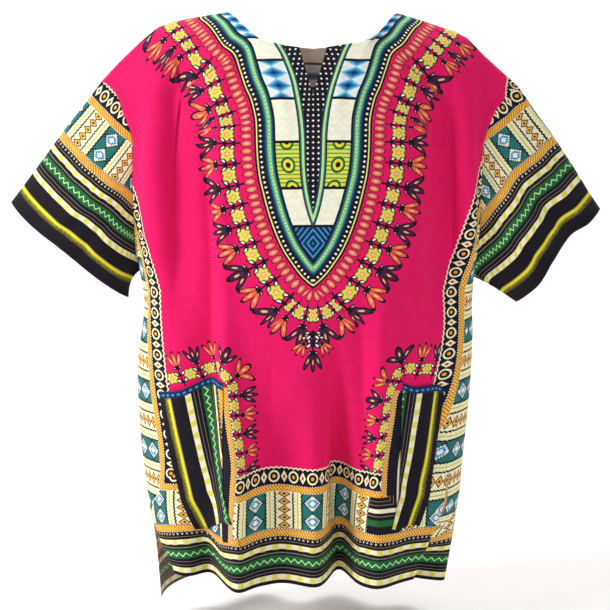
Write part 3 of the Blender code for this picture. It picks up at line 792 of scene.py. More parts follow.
# boxes, 84 mm apart: a teal one with stepped lozenges, and a cream one with a row of gold
# lozenges in dark lines
boxed = inside(border, across, 124.0, 175.5)
side = calc(border, "PINGPONG", along, 42.0)
wave = calc(border, "SINE", calc(border, "MULTIPLY", across, 1.25))
wavy = calc(border, "ADD", side, calc(border, "MULTIPLY", wave, 0.6))
up_box = calc(border, "PINGPONG", calc(border, "SUBTRACT", across, 136.5), 12.5)
up_steps = calc(border, "SNAP", calc(border, "ADD", up_box, 1.1), 2.2)
stepped = lozenge(border, calc(border, "SNAP", side, 2.2), up_steps, 14.0, 12.5)
teal_box = inlaid(border, stepped, TEAL, ((0.98, NAVY), (0.74, CREAM), (0.52, SKY), (0.22, WHITE)))
inner_side = calc(border, "SUBTRACT", 42.0, side)
row = calc(border, "PINGPONG", calc(border, "SUBTRACT", across, 127.0), 5.6)
lattice = lozenge(border, inner_side, row, 9.0, 5.6)
cream_box = printed(border, inside(border, lattice, 0.75, 1.05), CREAM, ink(92, 44, 22))
cream_box = inlaid(border, lattice, cream_box, ((0.75, ink(248, 190, 84)), (0.32, BLACK)))
boxes = printed(border, below(border, side, 15.5), cream_box, teal_box)
boxes = printed(border, inside(border, wavy, 14.6, 30.5), boxes, BLACK)
boxes = printed(border, inside(border, wavy, 17.2, 28.0), boxes, ink(248, 244, 190))
boxes = printed(border, inside(border, side, 21.7, 22.7), boxes, ink(168, 160, 84))
colour = printed(border, boxed, colour, boxes)
colour = cord(border, along, across, 179.5, 4.3, colour)

# the dark band with rings and lozenges in turn, 28 mm apart, and its scalloped cream edge
in_band = inside(border, across, 184.5, 214.0)
off = calc(border, "SUBTRACT", across, 196.0)
ring = oval(border, off, calc(border, "PINGPONG", along, 14.0), 8.6, 7.6)
petal_run = calc(border, "PINGPONG", calc(border, "SUBTRACT", along, 14.0), 14.0)
petal = lozenge(border, off, petal_run, 8.6, 4.8)
rings = printed(border, inside(border, ring, 0.70, 1.0), BLACK, CREAM)
rings = printed(border, below(border, ring, 0.30), rings, GOLD)
rings = inlaid(border, petal, rings, ((1.0, CREAM), (0.42, RUST)))
in_rings = calc(border, "MAXIMUM", below(border, ring, 1.0), below(border, petal, 1.0))
colour = printed(border, both(border, in_band, in_rings), colour, rings)
scallop = calc(border, "SINE", calc(border, "MULTIPLY", along, math.pi / 7.0))
scallop = calc(border, "MULTIPLY", calc(border, "ABSOLUTE", scallop), 2.2)
scallop = calc(border, "SUBTRACT", across, scallop)
colour = printed(border, above(border, scallop, 206.0), colour, CREAM)
colour = printed(border, above(border, scallop, 208.2), colour, port["Ground"])
border.links.new(colour, result["Color"])


# A sprig, drawn on half its width: a stem with leaf pairs and a bud of three petals.
sprig_tree, port, result = group(
    "sprig_print", (("Side", "value"), ("Out", "value"), ("Size", "value"), ("Under", "colour"),
                    ("Ink", "colour")),
    (("Color", "colour"),))
side = calc(sprig_tree, "DIVIDE", port["Side"], port["Size"])
out = calc(sprig_tree, "DIVIDE", port["Out"], port["Size"])
leaves = leaf(sprig_tree, side,
              calc(sprig_tree, "WRAP", calc(sprig_tree, "SUBTRACT", out, 9.0), 6.0, -6.0),
              6.0, 1.4, -50.0, 2.9, 6.9)
in_leaves = inside(sprig_tree, out, 3.0, 33.0)
stem = both(sprig_tree, below(sprig_tree, side, 1.3), inside(sprig_tree, out, 0.0, 44.0))
colour = printed(sprig_tree, stem, port["Under"], BLACK)
colour = printed(sprig_tree, both(sprig_tree, below(sprig_tree, leaves, 1.0), in_leaves), colour, BLACK)
colour = printed(sprig_tree, both(sprig_tree, below(sprig_tree, leaves, 0.46), in_leaves), colour, WHITE)
bud = calc(sprig_tree, "MINIMUM", leaf(sprig_tree, side, out, 0.0, 47.0, 0.0, 3.0, 11.5),
           leaf(sprig_tree, side, out, 7.4, 45.0, -24.0, 2.9, 11.0))
colour = inlaid(sprig_tree, bud, colour, ((1.3, BLACK), (0.94, port["Ink"]), (0.34, ink(255, 196, 120))))
sprig_tree.links.new(colour, result["Color"])


def sprig(tree, side, out, size, under, tint):
    return placed(tree, sprig_tree, Side=side, Out=out, Size=size, Under=under, Ink=tint)["Color"]


# A rosette: six lime petals round a coral eye, with a rust outline.
flower_tree, port, result = group(
    "rosette_print", (("Side", "value"), ("Out", "value"), ("Radius", "value"), ("Under", "colour")),
    (("Color", "colour"),))
span = calc(flower_tree, "DIVIDE", oval(flower_tree, port["Side"], port["Out"], 1.0, 1.0),
            port["Radius"])
turn = calc(flower_tree, "ARCTAN2", port["Out"], port["Side"])
lobes = calc(flower_tree, "COSINE", calc(flower_tree, "MULTIPLY", turn, 6.0))
span = calc(flower_tree, "SUBTRACT", span, calc(flower_tree, "MULTIPLY", lobes, 0.13))
colour = inlaid(flower_tree, span, port["Under"],
                ((1.0, ink(140, 44, 40)), (0.84, LIME), (0.62, ink(238, 228, 70)), (0.34, CORAL),
                 (0.14, WHITE)))
flower_tree.links.new(colour, result["Color"])


def flower(tree, side, out, radius, under):
    return placed(tree, flower_tree, Side=side, Out=out, Radius=radius, Under=under)["Color"]


# The yoke round the neck and slit: bands that follow its outline, from a yellow line through dots
# and blue to panels of lozenges, ripples and seeds, and a dark placket down the middle, which
# "Plain" 1 leaves out. Outside it stand a row of beads and a ring of sprigs and rosettes.
yoke, port, result = group(
    "yoke_print",
    (("Along", "value"), ("Out", "value"), ("Over", "value"), ("Down", "value"), ("Plain", "value"),
     ("Ground", "colour")),
    (("Color", "colour"),))
along, out = port["Along"], port["Out"]
rough = calc(yoke, "MULTIPLY",
             calc(yoke, "SUBTRACT", noise(yoke, port["Over"], port["Down"], 0.4), 0.5), 0.9)
along = calc(yoke, "ADD", along, rough)
out = calc(yoke, "ADD", out, calc(yoke, "MULTIPLY", rough, 0.8))
over = calc(yoke, "ABSOLUTE", calc(yoke, "ADD", port["Over"], rough))
deep = calc(yoke, "MULTIPLY", out, -1.0)
colour = port["Ground"]

# outside: beads, then sprigs and rosettes in turn, which fan out round the tip
drop = calc(yoke, "ADD", 347.0, calc(yoke, "MULTIPLY", port["Plain"], 4000.0))
drop = calc(yoke, "SUBTRACT", port["Down"], drop)
fan = calc(yoke, "SUBTRACT", calc(yoke, "ARCTAN2", over, drop), 0.96)
fan = calc(yoke, "MINIMUM", fan, 0.0)
along_ring = calc(yoke, "ADD", along, calc(yoke, "MULTIPLY", fan, 50.0))
along_beads = calc(yoke, "ADD", along, calc(yoke, "MULTIPLY", fan, 15.0))
bead_run = calc(yoke, "PINGPONG", along_beads, 4.6)
bead = oval(yoke, calc(yoke, "SUBTRACT", out, 12.5), bead_run, 6.6, 3.1)
beads = printed(yoke, below(yoke, bead, 0.44), ink(236, 124, 104), ink(248, 188, 140))
colour = inlaid(yoke, bead, colour, ((1.32, ink(150, 14, 52)), (1.0, beads)))
run = calc(yoke, "ADD", along_ring, 60.0)
side = calc(yoke, "PINGPONG", run, 12.0)
place = calc(yoke, "SUBTRACT", 12.0, side)
outward = calc(yoke, "MULTIPLY", calc(yoke, "SUBTRACT", out, 21.0), 0.84)
plum = ink(74, 34, 70)
coral_turn = below(yoke, calc(yoke, "PINGPONG", run, 24.0), 12.0)
sprays = printed(yoke, coral_turn, sprig(yoke, side, outward, 0.86, colour, plum),
                 sprig(yoke, side, outward, 0.86, colour, CORAL))
from_eye = calc(yoke, "MULTIPLY", calc(yoke, "SUBTRACT", out, 38.0), 0.86)
sprays = flower(yoke, place, from_eye, 8.4, sprays)
colour = printed(yoke, inside(yoke, out, 20.0, 90.0), colour, sprays)

# the spray that hangs from the ring under the tip
for angle, reach, size, tint in ((34.0, 58.0, 0.66, CORAL), (0.0, 58.0, 0.92, plum)):
    c, n = math.cos(math.radians(angle)), math.sin(math.radians(angle))
    side_way = calc(yoke, "SUBTRACT", calc(yoke, "MULTIPLY", over, c), calc(yoke, "MULTIPLY", drop, n))
    side_way = calc(yoke, "ADD", side_way, reach * n)
    out_way = calc(yoke, "ADD", calc(yoke, "MULTIPLY", over, n), calc(yoke, "MULTIPLY", drop, c))
    out_way = calc(yoke, "SUBTRACT", out_way, reach * c)
    colour = sprig(yoke, calc(yoke, "ABSOLUTE", side_way), out_way, size, colour, tint)

# inside the outline: a yellow line, white dots on black, and blue that pales to lime and back
LAGOON = ink(34, 118, 136)
PALE_LIME = ink(196, 232, 140)
PETROL = ink(22, 84, 106)
EDGING = 24.6
inner = stripes(yoke, deep, -6.0, 80.0, (
    (-6, BLACK), (0.0, ink(250, 236, 130)), (1.6, BLACK), (10.0, ink(16, 56, 84)), (12.0, LAGOON),
    (13.8, ink(104, 184, 152)), (15.2, PALE_LIME), (18.4, ink(66, 156, 142)), (20.0, PETROL),
    (21.8, BLACK), (EDGING, CREAM)))
mark = lozenge(yoke, calc(yoke, "SUBTRACT", deep, 5.6), calc(yoke, "PINGPONG", along, 3.3), 2.0, 1.7)
inner = printed(yoke, below(yoke, mark, 1.0), inner, WHITE)
bead_row = oval(yoke, calc(yoke, "SUBTRACT", deep, 16.8), calc(yoke, "PINGPONG", along, 2.4), 0.9, 1.1)
inner = printed(yoke, below(yoke, bead_row, 1.0), inner, ink(92, 160, 84))

# panels one under another between the edging and the placket, from the shoulder to the tip
level = port["Down"]
step_out = calc(yoke, "SUBTRACT", deep, 38.5)
blue_out = calc(yoke, "ADD", step_out, calc(yoke, "MULTIPLY", below(yoke, level, 21.0), 7.5))
blue = lozenge(yoke, blue_out, calc(yoke, "PINGPONG", calc(yoke, "SUBTRACT", level, 4.0), 8.6), 14.0,
               8.6)
lozenges = inlaid(yoke, blue, ink(238, 246, 246),
                  ((1.06, ink(128, 202, 232)), (0.80, ink(52, 150, 208)), (0.52, ink(30, 96, 164)),
                   (0.26, NAVY)))
ripple = calc(yoke, "WRAP", calc(yoke, "ADD", level, calc(yoke, "PINGPONG", step_out, 5.0)), 9.0, 0.0)
pale = printed(yoke, below(yoke, ripple, 1.2), ink(252, 250, 230), ink(236, 238, 196))
seed = oval(yoke, step_out, calc(yoke, "PINGPONG", calc(yoke, "SUBTRACT", level, 162.0), 14.5), 9.0,
            10.5)
seeds = printed(yoke, below(yoke, calc(yoke, "PINGPONG", level, 2.6), 0.9), ink(226, 232, 96),
                ink(120, 160, 60))
seeds = inlaid(yoke, seed, seeds, ((1.0, GREEN), (0.70, YELLOW), (0.34, BLACK)))
nest = calc(yoke, "ABSOLUTE", calc(yoke, "SUBTRACT", level, 290.0))
nest = calc(yoke, "ADD", over, calc(yoke, "MULTIPLY", nest, 0.8))
nested = printed(yoke, below(yoke, calc(yoke, "PINGPONG", nest, 3.6), 1.2), NAVY, SKY)
panels = pale
for first, last, pattern in (
        (-90.0, 21.0, lozenges), (55.0, 107.0, lozenges), (162.0, 220.0, seeds), (268.0, 360.0, nested)):
    panels = printed(yoke, inside(yoke, level, first, last), panels, pattern)
for seam in (21.0, 55.0, 107.0, 162.0, 220.0, 268.0):
    panels = printed(yoke, inside(yoke, level, seam - 1.7, seam + 1.7), panels, BLACK)
inner = printed(yoke, above(yoke, deep, EDGING), inner, panels)

# the placket: a dotted dark band with a lime and teal edge, that opens out beside the slit and
# tapers to its tip
flare = calc(yoke, "MAXIMUM", calc(yoke, "DIVIDE", calc(yoke, "SUBTRACT", 170.0, level), 129.0), 0.0)
flare = calc(yoke, "MULTIPLY", calc(yoke, "POWER", flare, 2.2), -38.0)
taper = calc(yoke, "MAXIMUM", calc(yoke, "DIVIDE", calc(yoke, "SUBTRACT", level, 150.0), 122.0), 0.0)
taper = calc(yoke, "MULTIPLY", calc(yoke, "POWER", taper, 3.0), 17.8)
placket_side = calc(yoke, "ADD", calc(yoke, "ADD", over, flare), taper)
placket_side = calc(yoke, "ADD", placket_side, calc(yoke, "MULTIPLY", port["Plain"], 400.0))
inner = inlaid(yoke, placket_side, inner,
               ((17.8, BLACK), (16.2, LAGOON), (14.4, PALE_LIME), (11.4, PETROL), (9.4, BLACK)))
stud = lozenge(yoke, calc(yoke, "PINGPONG", over, 3.4), calc(yoke, "PINGPONG", level, 3.4), 1.6, 1.6)
inner = printed(yoke, both(yoke, below(yoke, stud, 1.0), below(yoke, placket_side, 8.6)), inner, WHITE)
colour = inlaid(yoke, out, colour, ((2.6, BLACK), (0.0, inner)))
yoke.links.new(colour, result["Color"])

# Plain weave: 30 threads a centimetre, with slubs and the soft creases of worn cotton, and the
# slight unevenness of the dye.
weave, port, result = group(
    "cotton_weave", (("Over", "value"), ("Down", "value")), (("Height", "value"), ("Dye", "value")))
threads = calc(weave, "MULTIPLY", calc(weave, "SINE", calc(weave, "MULTIPLY", port["Over"], 18.0)),
               calc(weave, "SINE", calc(weave, "MULTIPLY", port["Down"], 18.0)))
slub = noise(weave, calc(weave, "MULTIPLY", port["Over"], 0.25), port["Down"], 0.9, 3.0)
rumple = noise(weave, port["Over"], port["Down"], 0.035, 4.0)
fine_rumple = noise(weave, port["Over"], calc(weave, "MULTIPLY", port["Down"], 0.6), 0.12, 3.0)
height = calc(weave, "ADD", calc(weave, "MULTIPLY", threads, 0.05), calc(weave, "MULTIPLY", slub, 0.12))
height = calc(weave, "ADD", height, calc(weave, "MULTIPLY", rumple, 3.2))
height = calc(weave, "ADD", height, calc(weave, "MULTIPLY", fine_rumple, 0.9))
weave.links.new(height, result["Height"])
dye = calc(weave, "ADD", 0.86,
           calc(weave, "MULTIPLY", noise(weave, port["Over"], port["Down"], 0.09, 5.0), 0.28))
weave.links.new(calc(weave, "ADD", dye, calc(weave, "MULTIPLY", threads, 0.03)), result["Dye"])

# Stitching: one row of thread at a distance from an edge, in stitches 2.6 mm long that sink in.
stitch, port, result = group(
    "stitch_row", (("Along", "value"), ("From Edge", "value"), ("Inset", "value")),
    (("Thread", "value"), ("Height", "value")))
off_row = calc(stitch, "ABSOLUTE", calc(stitch, "SUBTRACT", port["From Edge"], port["Inset"]))
in_stitch = above(stitch, calc(stitch, "PINGPONG", port["Along"], 1.3), 0.28)
thread = both(stitch, below(stitch, off_row, 0.42), in_stitch)
stitch.links.new(thread, result["Thread"])
dip_node = stitch.nodes.new("ShaderNodeMapRange")
dip_node.interpolation_type = "SMOOTHSTEP"
for title, number in (("From Min", 0.0), ("From Max", 1.7), ("To Min", -0.5), ("To Max", 0.0)):
    dip_node.inputs[title].default_value = number
stitch.links.new(off_row, dip_node.inputs["Value"])
pucker = calc(stitch, "MULTIPLY", calc(stitch, "SINE", calc(stitch, "MULTIPLY", port["Along"], 0.9)),
              0.12)
near = calc(stitch, "SUBTRACT", 1.0, calc(stitch, "MINIMUM", calc(stitch, "DIVIDE", off_row, 7.0), 1.0))
stitch.links.new(calc(stitch, "ADD", dip_node.outputs[0], both(stitch, pucker, near)), result["Height"])


def spot_of(tree, uv_map):
    """The two numbers that a piece keeps at each point, in millimetres."""
    node = tree.nodes.new("ShaderNodeUVMap")
    node.uv_map = uv_map
    parts = tree.nodes.new("ShaderNodeSeparateXYZ")
    tree.links.new(node.outputs[0], parts.inputs[0])
    return [calc(tree, "MULTIPLY", parts.outputs[k], 1000.0) for k in range(2)]


def finished(material, colour, over, down, edges):
    """The cotton's shader: the print, its weave, the stitch rows, and a paler reverse side.
    "edges" gives, for each row of stitching, how far along it, from its edge, and its inset."""
    tree = material.node_tree
    shader = tree.nodes["Principled BSDF"]
    cloth = placed(tree, weave, Over=over, Down=down)
    height = cloth["Height"]
    for run, edge, inset in edges:
        row = placed(tree, stitch, Along=run, From_Edge=edge, Inset=inset)
        height = calc(tree, "ADD", height, row["Height"])
        height = calc(tree, "ADD", height, calc(tree, "MULTIPLY", row["Thread"], 0.35))
        colour = printed(tree, calc(tree, "MULTIPLY", row["Thread"], 0.45), colour, BLACK)
    tone = tree.nodes.new("ShaderNodeMix")
    tone.data_type = "RGBA"
    tone.blend_type = "MULTIPLY"
    tone.inputs["Factor"].default_value = 1.0
    grey = tree.nodes.new("ShaderNodeCombineXYZ")
    for socket in grey.inputs:
        tree.links.new(cloth["Dye"], socket)
    tree.links.new(colour, tone.inputs[6])
    tree.links.new(grey.outputs[0], tone.inputs[7])
    reverse = tree.nodes.new("ShaderNodeAttribute")
    reverse.attribute_name = "reverse"
    faded = calc(tree, "MULTIPLY", reverse.outputs["Fac"], 0.15)
    tree.links.new(printed(tree, faded, tone.outputs[2], ink(250, 226, 220)),
                   shader.inputs["Base Color"])
    bump = tree.nodes.new("ShaderNodeBump")
    bump.inputs["Strength"].default_value = 0.55
    bump.inputs["Distance"].default_value = 0.001
    tree.links.new(height, bump.inputs["Height"])
    tree.links.new(bump.outputs[0], shader.inputs["Normal"])
    shine = calc(tree, "ADD", 0.74, calc(tree, "MULTIPLY", cloth["Dye"], 0.08))
    tree.links.new(shine, shader.inputs["Roughness"])
    shader.inputs["Specular IOR Level"].default_value = 0.16
    shader.inputs["Sheen Weight"].default_value = 0.04
    shader.inputs["Sheen Roughness"].default_value = 0.5


def cotton(name):
    material = bpy.data.materials.new(name)
    material.use_nodes = True
    return material


# creases, as x and z at both ends, half the width to each side, and how far they stand out
FRONT_CREASES = (
    (-0.186, -0.040, -0.178, -0.600, 0.034, 0.030, 0.0090),
    (-0.144, -0.080, -0.133, -0.700, 0.034, 0.011, -0.0140),
    (-0.112, -0.340, -0.100, -0.640, 0.018, 0.016, 0.0040),
    (-0.056, -0.420, -0.058, -0.720, 0.028, 0.016, -0.0060),
    (0.012, -0.420, 0.020, -0.720, 0.032, 0.009, 0.0080),
    (0.062, -0.360, 0.068, -0.740, 0.038, 0.010, -0.0110),
    (0.090, -0.330, 0.094, -0.580, 0.011, 0.012, 0.0044),
    (0.180, -0.080, 0.194, -0.480, 0.040, 0.009, -0.0140),
    (0.210, -0.110, 0.218, -0.340, 0.012, 0.012, 0.0060),
    (-0.234, -0.320, -0.160, -0.270, 0.015, 0.013, 0.0016),
    (0.228, -0.345, 0.160, -0.290, 0.015, 0.012, 0.0018),
    (0.226, -0.060, 0.232, -0.150, 0.009, 0.007, -0.0040),
    (-0.200, -0.560, -0.188, -0.740, 0.012, 0.009, 0.0030),
    (0.000, -0.640, 0.004, -0.758, 0.010, 0.007, 0.0026),
    (-0.052, -0.055, -0.030, -0.150, 0.009, 0.007, 0.0016),
    (0.040, -0.060, 0.028, -0.140, 0.008, 0.006, 0.0014),
    (-0.096, -0.030, -0.120, -0.110, 0.010, 0.008, 0.0022),
    (0.104, -0.036, 0.126, -0.120, 0.011, 0.008, 0.0020),
)
# the printed line round each pocket: up its inner side and out along its top, in the flat cut
POCKET_LINES = (((-0.129, 0.700), (-0.1215, 0.482), (-0.134, 0.4715), (-0.226, 0.499)),
                ((0.178, 0.700), (0.1375, 0.500), (0.142, 0.476), (0.212, 0.484)))


def pocket_lengths(over, down):
    """Metres along the nearer pocket's printed line, and metres out from it."""
    spots = np.stack((over.ravel(), down.ravel()), axis=1)
    along = np.zeros(len(spots))
    out = np.full(len(spots), 9.0)
    for line in POCKET_LINES:
        begun = 0.0
        turn = 1.0 if line[0][0] < 0 else -1.0
        last_run = None
        for start, stop in zip(np.array(line[:-1]), np.array(line[1:])):
            run = stop - start
            length = np.linalg.norm(run)
            run = run / length
            if last_run is not None:
                begun += 0.024 * math.acos(min(1.0, float(run @ last_run)))
            last_run = run
            away = spots - start
            walk = np.clip(away @ run, 0.0, length)
            gap = away - walk[:, None] * run
            side = np.hypot(*gap.T)
            sign = np.sign((run[0] * away[:, 1] - run[1] * away[:, 0]) * turn)
            nearer = side < abs(out)
            past = np.arctan2(np.maximum(gap @ run, 0.0), abs(run[0] * away[:, 1] - run[1] * away[:, 0]))
            out = np.where(nearer, side * np.where(sign < 0, -1.0, 1.0), out)
            along = np.where(nearer, begun + walk + np.where(walk >= length, 0.024 * past, 0.0), along)
            begun += length
    return along.reshape(over.shape), out.reshape(over.shape)


front_share, front_points = panel_points("front")
front_out = skin_normals(front_points, False)
front_keep = (ease(0.0, 0.05, front_share) * ease(0.0, 0.05, 1 - front_share))[None, :]
front_keep = front_keep * ease(SHOULDER_DROP, SHOULDER_DROP + 0.03, PANEL_DROPS)[:, None]
front_points = creased(front_points, front_out, FRONT_CREASES, front_keep)
front_out = skin_normals(front_points, False)
front_over, front_down = flat_lengths(front_points, PANEL_DROPS)
front_yoke = yoke_lengths(YOKE_EDGE, front_over, front_down)
front_pocket = pocket_lengths(front_over, front_down)
front = cloth_piece("front_cloth", front_points, front_out, {
    "cloth": np.stack((front_over, front_down), axis=-1), "yoke": np.stack(front_yoke, axis=-1),
    "edges": np.stack(edge_lengths(front_over, front_down), axis=-1),
    "pocket": np.stack(front_pocket, axis=-1),
    "hem": np.stack((front_over, front_down[-1:] - front_down), axis=-1),
})
front_cotton = cotton("front_cotton")
tree = front_cotton.node_tree
over, down = spot_of(tree, "cloth")
along, out = spot_of(tree, "yoke")
ground = placed(tree, yoke, Along=along, Out=out, Over=over, Down=down, Ground=PINK)["Color"]
top_run, side_run = spot_of(tree, "edges")
left_edge = calc(tree, "ADD", over, 425.0)
right_edge = calc(tree, "SUBTRACT", 397.0, over)
rise = calc(tree, "MULTIPLY", calc(tree, "MAXIMUM", calc(tree, "SUBTRACT", 360.0, down), 0.0), 0.33)
from_side = calc(tree, "ADD", calc(tree, "MINIMUM", left_edge, right_edge), rise)
from_hem = calc(tree, "ADD", spot_of(tree, "hem")[1], 45.5)
pocket_run, pocket_out = spot_of(tree, "pocket")
around = calc(tree, "PINGPONG", pocket_run, 13.0)
bud_out = calc(tree, "SUBTRACT", pocket_out, 1.0)
buds = sprig(tree, around, bud_out, 0.80, ground, CORAL)
dark_bud = sprig(tree, around, bud_out, 0.80, ground, ink(70, 34, 74))
buds = printed(tree, below(tree, calc(tree, "PINGPONG", pocket_run, 26.0), 13.0), buds, dark_bud)
buds = flower(tree, calc(tree, "SUBTRACT", 13.0, around), calc(tree, "SUBTRACT", pocket_out, 15.0), 8.2,
              buds)
ground = printed(tree, inside(tree, pocket_out, -30.0, 52.0), ground, buds)
ground = placed(tree, border, Along=down, Across=from_side, Ground=ground)["Color"]
hemmed = placed(tree, border, Along=over, Across=from_hem, Ground=ground)["Color"]
colour = printed(tree, calc(tree, "LESS_THAN", from_hem, calc(tree, "MINIMUM", from_side, 210.0)),
                 ground, hemmed)
strip = cord(tree, pocket_run, pocket_out, 3.6, 3.4, BLACK)
right_half = calc(tree, "GREATER_THAN", over, 0.0)
foot = calc(tree, "ADD", 116.0, calc(tree, "MULTIPLY", right_half, 61.0))
strip_here = both(tree, inside(tree, pocket_out, -18.0, 8.0), below(tree, pocket_run, 222.0),
                  calc(tree, "GREATER_THAN", from_hem, foot))

# under the right pocket's inner corner the hem's plain stripes turn up beside it
nested = calc(tree, "MAXIMUM", calc(tree, "SUBTRACT", 175.5, from_hem),
              calc(tree, "SUBTRACT", -1.8, pocket_out))
steps = stripes(tree, nested, 0.0, 60.0, (
    (0, BLACK), (4.5, TAN), (5.7, BLACK), (10.0, TAN), (11.2, BLACK), (16.0, CREAM), (22.0, BLACK),
    (26.0, TAN),
    (27.2, BLACK), (32.0, GREEN), (41.0, BLACK)))
steps_beside = both(tree, right_half, inside(tree, pocket_out, -34.0, -3.8),
                    below(tree, pocket_run, 222.0))
steps_beside = both(tree, steps_beside, calc(tree, "GREATER_THAN", from_hem, 175.0))
steps_here = both(tree, inside(tree, over, 140.0, 196.0), inside(tree, from_hem, 123.5, 175.5))
steps_here = calc(tree, "MAXIMUM", steps_here, steps_beside)
colour = printed(tree, steps_here, colour, steps)
colour = printed(tree, strip_here, colour, strip)
rows = [(over, from_hem, 63.5), (over, top_run, 5.0), (down, side_run, 6.0)]
finished(front_cotton, colour, over, down, rows)
front.data.materials.append(front_cotton)
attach(front, "root")
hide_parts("front")

# The back: the same cotton, cut with a shallower neck and left longer at the hem. It is sewn to
# the front at the shoulders and sides and falls in deeper folds from the shoulder blades.
BACK_CREASES = (
    (-0.232, -0.340, -0.120, -0.240, 0.012, 0.009, 0.0040),
    (-0.225, -0.372, -0.130, -0.330, 0.010, 0.008, -0.0030),
    (0.218, -0.356, 0.110, -0.250, 0.012, 0.009, 0.0038),
    (0.214, -0.392, 0.120, -0.352, 0.009, 0.007, -0.0028),
    (-0.180, -0.060, -0.196, -0.240, 0.013, 0.010, 0.0034),
    (0.172, -0.060, 0.190, -0.220, 0.012, 0.009, 0.0038),
    (-0.050, -0.080, -0.070, -0.340, 0.022, 0.014, 0.0050),
    (0.052, -0.090, 0.076, -0.420, 0.016, 0.028, -0.0070),
    (-0.124, -0.300, -0.130, -0.700, 0.030, 0.012, -0.0080),
    (-0.180, -0.480, -0.194, -0.760, 0.013, 0.010, 0.0040),
    (0.180, -0.460, 0.176, -0.720, 0.012, 0.010, 0.0040),
    (0.010, -0.420, 0.018, -0.740, 0.014, 0.024, 0.0060),
    (0.116, -0.420, 0.112, -0.760, 0.012, 0.022, -0.0064),
    (-0.070, -0.560, -0.074, -0.800, 0.012, 0.009, -0.0034),
)
back_share, back_points = panel_points("back")
back_out = -skin_normals(back_points, False)
back_keep = (ease(0.0, 0.05, back_share) * ease(0.0, 0.05, 1 - back_share))[None, :]
back_keep = back_keep * ease(SHOULDER_DROP, SHOULDER_DROP + 0.03, PANEL_DROPS)[:, None]
back_points = creased(back_points, back_out, BACK_CREASES, back_keep)
back_out = -skin_normals(back_points, False)
back_over, back_down = flat_lengths(back_points, PANEL_DROPS)
BACK_YOKE_EDGE = (
    (0.192, -0.042), (0.184, -0.028), (0.154, 0.012), (0.122, 0.044), (0.091, 0.072), (0.060, 0.094),
    (0.030, 0.109), (0.0, 0.114),
)
back_yoke = yoke_lengths(BACK_YOKE_EDGE, back_over, back_down)
back = cloth_piece("back_cloth", back_points, back_out, {
    "cloth": np.stack((back_over, back_down), axis=-1), "yoke": np.stack(back_yoke, axis=-1),
    "edges": np.stack(edge_lengths(back_over, back_down), axis=-1),
    "hem": np.stack((back_over, back_down[-1:] - back_down), axis=-1),
}, flip=True)
back_cotton = cotton("back_cotton")
tree = back_cotton.node_tree
over, down = spot_of(tree, "cloth")
along, out = spot_of(tree, "yoke")
ground = placed(tree, yoke, Along=along, Out=out, Over=over, Down=down, Plain=1.0, Ground=PINK)["Color"]
top_run, side_run = spot_of(tree, "edges")
rise = calc(tree, "MULTIPLY", calc(tree, "MAXIMUM", calc(tree, "SUBTRACT", 360.0, down), 0.0), 0.33)
from_side = calc(tree, "ADD", calc(tree, "SUBTRACT", 455.0, calc(tree, "ABSOLUTE", over)), rise)
from_hem = calc(tree, "ADD", spot_of(tree, "hem")[1], 45.5)
ground = placed(tree, border, Along=down, Across=from_side, Ground=ground)["Color"]
hemmed = placed(tree, border, Along=over, Across=from_hem, Ground=ground)["Color"]
colour = printed(tree, calc(tree, "LESS_THAN", from_hem, calc(tree, "MINIMUM", from_side, 210.0)),
                 ground, hemmed)
rows = [(over, from_hem, 63.5), (over, top_run, 5.0), (down, side_run, 6.0)]
finished(back_cotton, colour, over, down, rows)
back.data.materials.append(back_cotton)
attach(back, "root")
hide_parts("back")

# The sleeves: each is one strip of the printed border, folded round the arm, closed by its own
# seam underneath and sewn to the straight armhole edges of the front and the back. The cuffs are
# narrow turned hems, and stand open.

# the cuff's top and bottom ends, its depth each side, and the pull of its wavy edge: "out" moves
# a point of the cuff along the sleeve and "deep" scales its depth
CUFF_COLUMNS = ("round", "out", "deep")
SLEEVES = {
    "sleeve_left": {
        "top": (-0.411, 0.004, -0.251), "low": (-0.2535, -0.004, -0.3815),
        "front": 0.040, "back": 0.036, "puff": 0.010, "clear": -0.006,
        "cuff": ((0.0, 0.0, 1.0), (0.12, 0.001, 1.0), (0.25, -0.002, 1.05), (0.38, 0.001, 0.9),
                 (0.5, 0.0, 1.0), (0.62, -0.004, 0.8), (0.75, 0.003, 1.15), (0.88, -0.002, 0.9),
                 (1.0, 0.0, 1.0)),
    },
    "sleeve_right": {
        "top": (0.393, 0.004, -0.260), "low": (0.281, -0.004, -0.388),
        "front": 0.038, "back": 0.040, "puff": 0.012, "clear": 0.004,
        "cuff": ((0.0, 0.0, 1.0), (0.10, -0.004, 1.0), (0.19, -0.013, 0.75), (0.28, -0.008, 0.9),
                 (0.38, -0.001, 1.2), (0.5, 0.0, 1.0), (0.62, -0.006, 1.1), (0.75, 0.004, 0.85),
                 (0.88, -0.003, 1.1), (1.0, 0.0, 1.0)),
    },
}
SLEEVE_ROWS = 60


